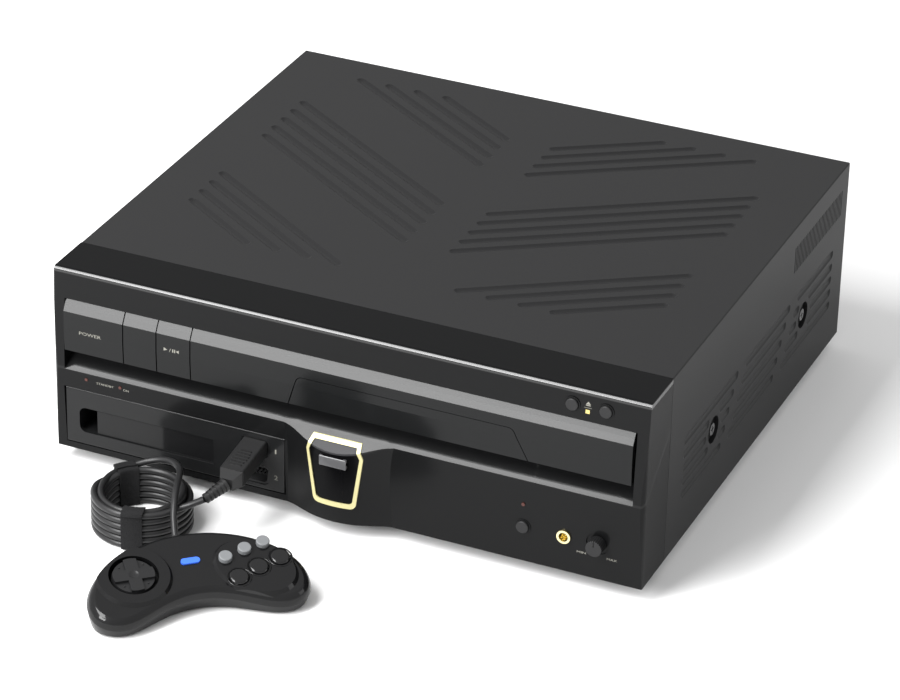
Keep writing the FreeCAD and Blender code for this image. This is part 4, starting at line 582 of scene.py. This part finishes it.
def smooth(thing: bpy.types.Object, degrees: float = 40.0) -> None:
    """Smooth shading that keeps edges sharper than an angle."""
    pick(thing)
    bpy.ops.object.shade_smooth_by_angle(angle=math.radians(degrees))


def finish_piece(thing: bpy.types.Object, wardrobe: Wardrobe, look: Finish, body: str) -> None:
    """Dress a new piece and hang it on its body."""
    wardrobe.dress(thing, look)
    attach(thing, body)


def join_all(things: Sequence[bpy.types.Object], name: str) -> bpy.types.Object:
    """Join meshes into one piece and name it."""
    pick(things[0])
    for thing in things:
        thing.select_set(True)
    if len(things) > 1:
        bpy.ops.object.join()
    whole = bpy.context.object
    whole.name = name
    return whole


def report(name: str, things: Iterable[bpy.types.Object]) -> None:
    """Log how many pieces and faces a sub-assembly has."""
    things = list(things)
    faces = sum(len(t.data.polygons) for t in things if t.type == "MESH")
    LOG.info("%s: %d pieces, %d faces", name, len(things), faces)


# ---- studio --------------------------------------------------------------------------------
@dataclass
class Studio:
    """Floor, world, lamps and camera.

    Attributes:
        lens: focal length in millimetres on a 36 mm sensor.
        eye: the camera's place.
        look: unit view direction.
        right: unit direction of the frame's horizontal.
        world_level: strength of the world's light on the object.
        lamps: name, place, aim, width, depth, watts of each soft box.
    """

    lens: float = 155.718
    eye: Point = (0.91954, -2.15672 + BACK, 1.33116)
    look: Point = (-0.346005, 0.804271, -0.483146)
    right: Point = (0.913818, 0.405594, 0.020744)
    world_level: float = 0.8
    lamps: tuple = (
        ("edge_box", (-0.8, -1.2, 1.78), (-0.05, -1.2, 0.1), 1.6, 0.95, 84.0),
        ("brow_box", (-0.88, -2.0, 1.12), (-0.05, -0.1, 0.1), 1.0, 0.75, 52.0),
        ("side_box", (2.0, 0.4, 0.9), (0.2, 0.1, 0.06), 0.8, 1.2, 5.0),
    )

    def floor(self) -> None:
        """Lay the pale floor."""
        clear_selection()
        bpy.ops.mesh.primitive_plane_add(size=8.0, location=(0.0, 0.0, -0.0004))
        ground = bpy.context.object
        ground.name = "floor"
        settle(ground)
        recipe = Recipe("floor white")
        shade = recipe.noise(recipe.where(), 3.0, 2.0)
        recipe.feed("Base Color", recipe.blend(shade, (0.8, 0.8, 0.8), (0.83, 0.83, 0.83)))
        recipe.feed("Roughness", 0.9)
        recipe.feed("Specular IOR Level", 0.1)
        ground.data.materials.append(recipe.material)

    def sky(self) -> None:
        """White where the camera, gloss or glass sees the world, and a soft grey fill elsewhere."""
        world = bpy.data.worlds.new("studio")
        bpy.context.scene.world = world
        world.use_nodes = True
        tree = world.node_tree
        back = next(n for n in tree.nodes if n.type == "BACKGROUND")
        path = tree.nodes.new("ShaderNodeLightPath")
        seen = Shade(tree, path.outputs["Is Camera Ray"])
        for name in ("Is Glossy Ray", "Is Transmission Ray"):
            seen = seen.larger(Shade(tree, path.outputs[name]))
        level = seen * (1.0 - self.world_level) + self.world_level
        back.inputs["Color"].default_value = (1.0, 1.0, 1.0, 1.0)
        tree.links.new(level.socket, back.inputs["Strength"])

    def lights(self) -> None:
        """Hang the soft boxes."""
        for name, at, aim, wide, deep, watts in self.lamps:
            clear_selection()
            bpy.ops.object.light_add(type="AREA", location=at)
            lamp = bpy.context.object
            lamp.name = name
            lamp.data.shape = "RECTANGLE"
            lamp.data.size = wide
            lamp.data.size_y = deep
            lamp.data.energy = watts
            lamp.rotation_mode = "QUATERNION"
            lamp.rotation_quaternion = (Vector(aim) - Vector(at)).to_track_quat("-Z", "Y")

    def camera(self) -> None:
        """Set up the camera."""
        bpy.ops.object.camera_add(location=self.eye)
        eye = bpy.context.object
        eye.name = "studio_camera"
        forward = Vector(self.look).normalized()
        right = Vector(self.right)
        right = (right - right.dot(forward) * forward).normalized()
        up = right.cross(forward)
        turn = Matrix((right, up, -forward)).transposed()
        eye.rotation_mode = "QUATERNION"
        eye.rotation_quaternion = turn.to_quaternion()
        eye.data.lens = self.lens
        eye.data.sensor_width = 36.0
        eye.data.clip_start = 0.05
        eye.data.clip_end = 50.0
        bpy.context.scene.camera = eye

    def build(self) -> None:
        """Set up the whole studio."""
        bpy.context.scene.view_settings.view_transform = "Standard"
        self.floor()
        self.sky()
        self.lights()
        self.camera()


# ---- wound lead --------------------------------------------------------------------------------
@dataclass
class WoundLead:
    """The controller's cord: one line from the plug's relief, through its coil, to the controller.

    Attributes:
        diameter: cord diameter.
        lead: first stretch, from the plug, in millimetres from the cabinet's middle.
        tail: last stretch, into the controller.
        middle: the coil's middle.
        outer: radius of the outer turns' centreline.
        inner: radius of the inner turns' centreline.
        layers: turns on top of each other.
        step_from, step_to: directions between which each turn steps to the next level.
        per_turn: points in one turn.
        start: direction at which the lead runs into the coil.
        leave_from, leave_to: directions between which the last turn moves out to the tail.
        leave_stop: direction past which the tail takes over.
        leave_radius: radius that the last turn moves out to.
        leave_rise: its rise on the way.
    """

    diameter: float = 0.0045
    lead: tuple[Point, ...] = ((-70.0, -249.7, 34.9), (-77.5, -251.0, 30.3), (-84.5, -254.0, 26.9),
                               (-90.0, -258.6, 25.0), (-94.6, -264.6, 24.75))
    tail: tuple[Point, ...] = ((-140.6, -219.7, 25.0), (-132.0, -213.6, 28.0), (-122.0, -211.2, 31.0),
                               (-112.0, -213.6, 33.2), (-103.4, -220.4, 34.6), (-98.2, -230.0, 35.4),
                               (-94.4, -240.2, 36.0), (-90.9, -250.4, 34.6), (-87.2, -259.4, 30.5),
                               (-83.4, -267.8, 23.9), (-78.6, -274.6, 17.6))
    middle: tuple[float, float] = (-119.0, -243.5)
    outer: float = 31.6
    inner: float = 27.1
    layers: int = 6
    step_from: float = 205.0
    step_to: float = 145.0
    per_turn: int = 24
    start: float = 319.0
    leave_from: float = 190.0
    leave_to: float = 132.0
    leave_stop: float = 141.0
    leave_radius: float = 32.1
    leave_rise: float = 0.3

    def on_turn(self, radius: float, degrees: float, height: float) -> Point:
        """A point of a turn, in millimetres."""
        a = math.radians(degrees)
        return (self.middle[0] + radius * math.cos(a), self.middle[1] + radius * math.sin(a), height)

    def eased(self, degrees: float) -> float:
        """How far a turn has stepped, 0 to 1, at a direction on its way clockwise."""
        share = (self.step_from - degrees % 360.0) / (self.step_from - self.step_to)
        share = min(1.0, max(0.0, share))
        return share * share * (3.0 - 2.0 * share)

    def coil_points(self) -> list[Point]:
        """The turns: down the outside from the top, across the bottom, and up the inside."""
        pitch = self.diameter / MM
        top = (self.layers - 0.5) * pitch
        step = 360.0 / self.per_turn
        angle = self.start - step
        found: list[Point] = []
        for layer in range(self.layers):
            z = top - layer * pitch
            last = layer == self.layers - 1
            while angle > self.step_from:
                found.append(self.on_turn(self.outer, angle, z))
                angle -= step
            while angle > self.step_to:
                share = self.eased(angle)
                radius = self.outer - (self.outer - self.inner) * share if last else self.outer
                found.append(self.on_turn(radius, angle, z if last else z - pitch * share))
                angle -= step
            angle += 360.0
        for layer in range(self.layers):
            z = 0.5 * pitch + layer * pitch
            last = layer == self.layers - 1
            stop = self.leave_from if last else self.step_from
            while angle > stop:
                found.append(self.on_turn(self.inner, angle, z))
                angle -= step
            if last:
                break
            while angle > self.step_to:
                found.append(self.on_turn(self.inner, angle, z + pitch * self.eased(angle)))
                angle -= step
            angle += 360.0
        while angle > self.leave_stop:
            share = (self.leave_from - angle) / (self.leave_from - self.leave_to)
            radius = self.inner + (self.leave_radius - self.inner) * share
            found.append(self.on_turn(radius, angle, top + self.leave_rise * share))
            angle -= step
        return found

    def route(self) -> list[Point]:
        """The whole line in metres."""
        line = list(self.lead) + self.coil_points() + list(self.tail)
        return [place(*p) for p in line]

    def cord(self, wardrobe: Wardrobe) -> bpy.types.Object:
        """Draw the cord as one spline."""
        line = self.route()
        curve = bpy.data.curves.new("controller_cord", "CURVE")
        curve.dimensions = "3D"
        curve.bevel_depth = self.diameter / 2
        curve.bevel_resolution = 4
        curve.resolution_u = 3
        curve.use_fill_caps = True
        spline = curve.splines.new("NURBS")
        spline.points.add(len(line) - 1)
        for knot, spot in zip(spline.points, line):
            knot.co = (*spot, 1.0)
        spline.order_u = 3
        spline.use_endpoint_u = True
        cord = bpy.data.objects.new("controller_cord", curve)
        bpy.context.scene.collection.objects.link(cord)
        finish_piece(cord, wardrobe, PALETTE.cord, "control_pack")
        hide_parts("cord_lead", "cord_coil", "cord_tail")
        return cord

    def length(self) -> float:
        """Length of the drawn line, in metres."""
        line = [Vector(p) for p in self.route()]
        soft = [line[0]] + [(a + b) / 2 for a, b in zip(line[1:], line[2:-1])] + [line[-1]]
        return sum((b - a).length for a, b in zip(soft, soft[1:]))

    def build(self, wardrobe: Wardrobe) -> None:
        cord = self.cord(wardrobe)
        ties = Straps().build(wardrobe)
        place(*self.lead[0])
        round(self.length(), 3)
        LOG.info("wound lead: %.3f m", self.length())


@dataclass
class Straps:
    """Two napped straps round the coil, each with its overlapping end.

    Attributes:
        middle: the coil's middle in millimetres.
        inside, outside: radii that the strap passes, just clear of the turns.
        height: top of the turns.
        width: strap width.
        thick: strap thickness.
        ways: directions of the two straps.
        foot: height of the strap's lowest point.
        soft: rounding of the strap's corners over the turns.
        edge: rounding of the strap's own edges, in metres.
        skew: how far the overlapping end lies askew.
        across: faces across the strap's width.
    """

    middle: tuple[float, float] = (-119.0, -243.5)
    inside: float = 24.75
    outside: float = 33.95
    height: float = 27.05
    width: float = 14.0
    thick: float = 1.1
    ways: tuple[float, float] = (-74.0, 138.0)
    foot: float = 0.6
    soft: float = 2.2
    edge: float = 0.0003
    skew: float = 1.6
    across: int = 6

    def line(self) -> list[tuple[float, float]]:
        """The strap's run round the coil's section: radius and height pairs."""
        r0, r1, top, soft = self.inside, self.outside, self.height, self.soft
        cut = soft * 0.3
        return [(r1, self.foot), (r1, top - soft), (r1 - cut, top - cut), (r1 - soft, top),
                (r0 + soft, top), (r0 + cut, top - cut), (r0, top - soft), (r0, self.foot)]

    def strap(self, name: str, way: float, lift: float, run: Sequence[tuple[float, float]],
              tilt: float) -> bpy.types.Object:
        """Lay one layer of strap.

        Args:
            name: piece name.
            way: direction from the coil's middle, in degrees.
            lift: how far the layer stands off the run.
            run: radius and height pairs, in millimetres.
            tilt: turn of the layer's far end across the width, in millimetres.

        Returns:
            The strap.
        """
        shape = bmesh.new()
        rows = []
        a = math.radians(way)
        out = Vector((math.cos(a), math.sin(a), 0.0))
        side = Vector((-math.sin(a), math.cos(a), 0.0))
        centre = Vector((self.middle[0], self.middle[1], 0.0))
        count = len(run)
        for i, (radius, height) in enumerate(run):
            before = run[max(i - 1, 0)]
            after = run[min(i + 1, count - 1)]
            slope = Vector((after[0] - before[0], after[1] - before[1])).normalized()
            off = Vector((slope.y, -slope.x)) * lift
            row = []
            for j in range(self.across + 1):
                w = (j / self.across - 0.5) * self.width
                r = radius + off.x
                bow = math.sqrt(max(r * r - w * w, 1.0))
                skew = tilt * i / count
                row.append(shape.verts.new(centre + out * bow + side * (w + skew)
                                           + Vector((0.0, 0.0, height + off.y))))
            rows.append(row)
        for low, high in zip(rows, rows[1:]):
            for j in range(self.across):
                shape.faces.new((low[j], low[j + 1], high[j + 1], high[j]))
        for vert in shape.verts:
            vert.co = Vector(place(*vert.co))
        mesh = bpy.data.meshes.new(name)
        shape.to_mesh(mesh)
        shape.free()
        band = bpy.data.objects.new(name, mesh)
        bpy.context.scene.collection.objects.link(band)
        wall = band.modifiers.new("thickness", "SOLIDIFY")
        wall.thickness = self.thick * MM
        wall.offset = 1.0
        edge = band.modifiers.new("edge", "BEVEL")
        edge.width = self.edge
        edge.segments = 2
        edge.limit_method = "ANGLE"
        soft = band.modifiers.new("soft", "SUBSURF")
        soft.levels = soft.render_levels = 2
        apply_all(band)
        smooth(band, 60.0)
        return band

    def build(self, wardrobe: Wardrobe) -> list[bpy.types.Object]:
        """Make both straps."""
        made = []
        for number, way in enumerate(self.ways, 1):
            run = self.line()
            band = self.strap(f"coil_strap_{number}", way, 0.0, run, 0.0)
            finish_piece(band, wardrobe, PALETTE.strap, "control_pack")
            made.append(band)
            lap = self.strap(f"coil_strap_end_{number}", way, self.thick, run[1:5], self.skew)
            finish_piece(lap, wardrobe, PALETTE.strap, "control_pack")
            made.append(lap)
        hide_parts("coil_ties")
        return made


# ---- printed marks and small fittings ------------------------------------------------------------
class PadAxes:
    """The controller's own sloping axes: u across, v away from the user, w out of its face."""

    turn: float = math.radians(41.2)
    tilt: float = math.radians(17.0)
    middle: tuple[float, float] = (-51.5, -305.5)    # where it stands, in millimetres
    front: float = -38.0                             # v of the edge that it is tilted about
    base: float = 1.5                                # w of that edge

    @classmethod
    def spot(cls, u: float, v: float, w: float) -> Vector:
        """A place on the controller, in metres in the scene."""
        a, b = v - cls.front, w - cls.base
        deep = cls.front + a * math.cos(cls.tilt) - b * math.sin(cls.tilt)
        high = a * math.sin(cls.tilt) + b * math.cos(cls.tilt)
        return Vector(place(cls.middle[0] + u * math.cos(cls.turn) - deep * math.sin(cls.turn),
                            cls.middle[1] + u * math.sin(cls.turn) + deep * math.cos(cls.turn), high))

    @classmethod
    def frame(cls, u: float, v: float, w: float) -> Matrix:
        """A placing whose X runs along u and whose Z leaves the face."""
        here = cls.spot(u, v, w)
        sides = [(cls.spot(u + (k == 0), v + (k == 1), w + (k == 2)) - here).normalized() for k in range(3)]
        turn = Matrix(sides).transposed().to_4x4()
        return Matrix.Translation(here) @ turn


def front_frame(x: float, z: float, y: float = -216.0) -> Matrix:
    """A placing before the front, from millimetres: X runs right, Z faces the viewer."""
    turn = Matrix(((1.0, 0.0, 0.0), (0.0, 0.0, 1.0), (0.0, -1.0, 0.0))).transposed().to_4x4()
    return Matrix.Translation(Vector(place(x, y, z))) @ turn


@dataclass
class Mark:
    """One printed word or sign.

    Attributes:
        text: the word, or the sign's name after a colon.
        spot: x and z on the front, in millimetres.
        wide: its width.
        tall: its height.
        node: the piece it is printed on.
        body: the body that carries it.
        ink: its finish.
        slot: its slot.
    """

    text: str
    spot: tuple[float, float]
    wide: float
    tall: float
    node: str
    body: str
    ink: Finish
    slot: str


class Printing:
    """Switch and scale marks, laid onto the faces that carry them.

    Attributes:
        LIFT: how far ink stands off its face, in metres.
        STRAY: a corner further than this from the mark's plane has missed the face.
    """

    LIFT = 0.00006
    STRAY = 0.0012

    def __init__(self, nodes: dict[str, bpy.types.Object]) -> None:
        """Keep the solids that marks are laid onto."""
        self.nodes = nodes
        self.sheets: dict[tuple, list] = {}

    @staticmethod
    def marks() -> list[Mark]:
        """Every mark on the object."""
        front, pack = ("front_fascia", "cabinet"), ("pack_front", "control_pack")
        power, play = ("power_key", "power_key"), ("play_key", "play_key")

        def grey_mark(text: str, spot: tuple[float, float], wide: float, tall: float,
                      where: tuple[str, str]) -> Mark:
            """A grey mark on a node of a body."""
            return Mark(text, spot, wide, tall, *where, PALETTE.ink, "grey_button")

        return [
            grey_mark("POWER", (-182.0, 100.7), 16.2, 2.3, power),
            grey_mark(":right", (-126.2, 103.9), 2.7, 2.4, play),
            grey_mark("/", (-122.9, 103.9), 1.3, 2.6, play),
            grey_mark(":bar", (-120.9, 103.9), 0.8, 2.4, play),
            grey_mark(":bar", (-119.5, 103.9), 0.8, 2.4, play),
            grey_mark(":left", (-117.6, 103.9), 2.2, 2.4, play),
            grey_mark("STANDBY", (-171.8, 65.5), 12.7, 1.6, front),
            grey_mark("ON", (-156.3, 65.2), 4.1, 1.6, front),
            grey_mark(":up", (168.2, 135.3), 3.2, 2.0, front),
            grey_mark(":bar", (168.2, 133.6), 3.2, 0.7, front),
            grey_mark(":bar", (168.0, 131.9), 5.3, 0.25, front),
            Mark(":bar", (168.0, 129.2), 2.8, 2.6, *front, PALETTE.gilt_ink, "pale_gold"),
            grey_mark("MIN", (168.5, 27.5), 6.2, 1.6, front),
            grey_mark("MAX", (189.4, 27.3), 6.8, 1.6, front),
            grey_mark("1", (-47.3, 45.8), 1.0, 3.3, pack),
            grey_mark("2", (-47.0, 26.2), 2.6, 3.3, pack),
        ]

    @staticmethod
    def word(text: str) -> bpy.types.Object:
        """A flat word."""
        bpy.ops.object.text_add(location=(0.0, 0.0, 0.0))
        label = bpy.context.object
        label.data.body = text
        label.data.size = 1.0
        label.data.resolution_u = 2
        pick(label)
        bpy.ops.object.convert(target="MESH")
        return bpy.context.object

    @staticmethod
    def sign(kind: str) -> bpy.types.Object:
        """A flat sign: a triangle or a bar."""
        turns = {":right": -90.0, ":left": 90.0, ":up": 0.0}
        if kind in turns:
            bpy.ops.mesh.primitive_circle_add(vertices=3, radius=1.0, fill_type="NGON",
                                              rotation=(0.0, 0.0, math.radians(turns[kind])))
        else:
            bpy.ops.mesh.primitive_grid_add(x_subdivisions=4, y_subdivisions=4, size=2.0)
        made = bpy.context.object
        settle(made)
        return made

    @classmethod
    def level(cls, made: bpy.types.Object) -> None:
        """Bring corners that missed the face back to the mark's own plane."""
        depths = sorted(v.co.z for v in made.data.vertices)
        middle = depths[len(depths) // 2]
        for v in made.data.vertices:
            if abs(v.co.z - middle) > cls.STRAY:
                v.co.z = middle

    def lay(self, mark: Mark) -> None:
        """Make a mark, bring it to size and lay it onto its piece."""
        clear_selection()
        made = self.sign(mark.text) if mark.text.startswith(":") else self.word(mark.text)
        made.name = "mark"
        spots = [v.co for v in made.data.vertices]
        low = [min(p[k] for p in spots) for k in range(2)]
        high = [max(p[k] for p in spots) for k in range(2)]
        for p in spots:
            p.x = (p.x - (low[0] + high[0]) / 2) * mark.wide * MM / (high[0] - low[0])
            p.y = (p.y - (low[1] + high[1]) / 2) * mark.tall * MM / (high[1] - low[1])
        made.matrix_world = front_frame(*mark.spot)
        pick(made)
        bpy.ops.object.modifier_add(type="SHRINKWRAP")
        wrap = made.modifiers[-1]
        wrap.target = self.nodes[mark.node]
        wrap.wrap_method = "PROJECT"
        wrap.use_project_z = True
        wrap.use_negative_direction = True
        wrap.use_positive_direction = False
        wrap.wrap_mode = "ABOVE_SURFACE"
        wrap.offset = self.LIFT
        apply_all(made)
        self.level(made)
        settle(made)
        self.sheets.setdefault((mark.body, mark.slot, mark.ink), []).append(made)

    def build(self, wardrobe: Wardrobe) -> None:
        """Lay every mark, then join those of one ink on one body."""
        for mark in self.marks():
            self.lay(mark)
        joined = []
        for (body, slot, ink), sheets in self.sheets.items():
            whole = join_all(sheets, f"print_{body}_{slot}")
            finish_piece(whole, wardrobe, ink, body)
            joined.append(whole)
        report("printing", joined)


@dataclass
class SensorBadge:
    """Raised smoke-grey lens plate over the sensor window's inner window.

    Attributes:
        middle: x, y and z of its middle, in millimetres.
        size: its width, depth and height.
        corner: rounding of its edges.
    """

    middle: Point = (-0.8, -203.35, 56.2)
    size: Point = (19.2, 3.6, 7.2)
    corner: float = 0.6

    def build(self, wardrobe: Wardrobe) -> None:
        """Model the plate and set it on the window."""
        clear_selection()
        bpy.ops.mesh.primitive_cube_add(size=1.0, location=place(*self.middle))
        plate = bpy.context.object
        plate.name = "sensor_badge"
        plate.scale = Vector(self.size) * MM
        settle(plate)
        bpy.ops.object.modifier_add(type="BEVEL")
        edge = plate.modifiers[-1]
        edge.width = self.corner * MM
        edge.segments = 4
        apply_all(plate)
        smooth(plate)
        finish_piece(plate, wardrobe, PALETTE.smoke, "cabinet")
        report("sensor badge", [plate])


@dataclass
class PadTrim:
    """Small raised parts of the controller: disc pips and the rings round the low buttons.

    Attributes:
        pips: u and v of the four pips on the direction disc.
        pip_r: radius of a pip.
        pip_w: w of its middle.
        rings: u and v of the button rings.
        ring_r: radius of a ring.
        ring_t: radius of its section.
        ring_w: w of its middle.
    """

    pips: tuple = ((-31.2, 5.6), (-31.2, -10.2), (-46.4, -10.2), (-46.4, 5.6))
    pip_r: float = 0.55
    pip_w: float = 17.25
    rings: tuple = ((25.8, -16.7), (40.1, -10.5), (55.3, -5.3))
    ring_r: float = 7.6
    ring_t: float = 0.55
    ring_w: float = 17.95

    def build(self, wardrobe: Wardrobe) -> None:
        """Model the pips and rings and lay them on the shell."""
        dots = []
        for u, v in self.pips:
            clear_selection()
            bpy.ops.mesh.primitive_uv_sphere_add(segments=16, ring_count=8, radius=self.pip_r * MM)
            dot = bpy.context.object
            dot.matrix_world = PadAxes.frame(u, v, self.pip_w)
            settle(dot)
            dots.append(dot)
        pips = join_all(dots, "disc_pips")
        smooth(pips)
        finish_piece(pips, wardrobe, PALETTE.cross, "pad_cross")
        hoops = []
        for u, v in self.rings:
            clear_selection()
            bpy.ops.mesh.primitive_torus_add(major_radius=self.ring_r * MM, minor_radius=self.ring_t * MM,
                                             major_segments=64, minor_segments=12)
            hoop = bpy.context.object
            hoop.matrix_world = PadAxes.frame(u, v, self.ring_w)
            settle(hoop)
            hoops.append(hoop)
        ring = join_all(hoops, "button_rings")
        smooth(ring)
        finish_piece(ring, wardrobe, PALETTE.shell, "control_pack")
        report("controller trim", [pips, ring])


def dress_solids(nodes: dict[str, bpy.types.Object], wardrobe: Wardrobe) -> None:
    """Give every solid its finish."""
    for name, thing in nodes.items():
        wardrobe.dress(thing, SOLID_FINISH[name])


def main() -> None:
    """Dress the frame and build every new piece."""
    logging.basicConfig(level=logging.INFO, format="%(name)s %(message)s")
    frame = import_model()
    clear_selection()
    wardrobe = Wardrobe()
    Studio().build()
    dress_solids(frame["nodes"], wardrobe)
    WoundLead().build(wardrobe)
    Printing(frame["nodes"]).build(wardrobe)
    SensorBadge().build(wardrobe)
    PadTrim().build(wardrobe)


if __name__ == "__main__":
    main()
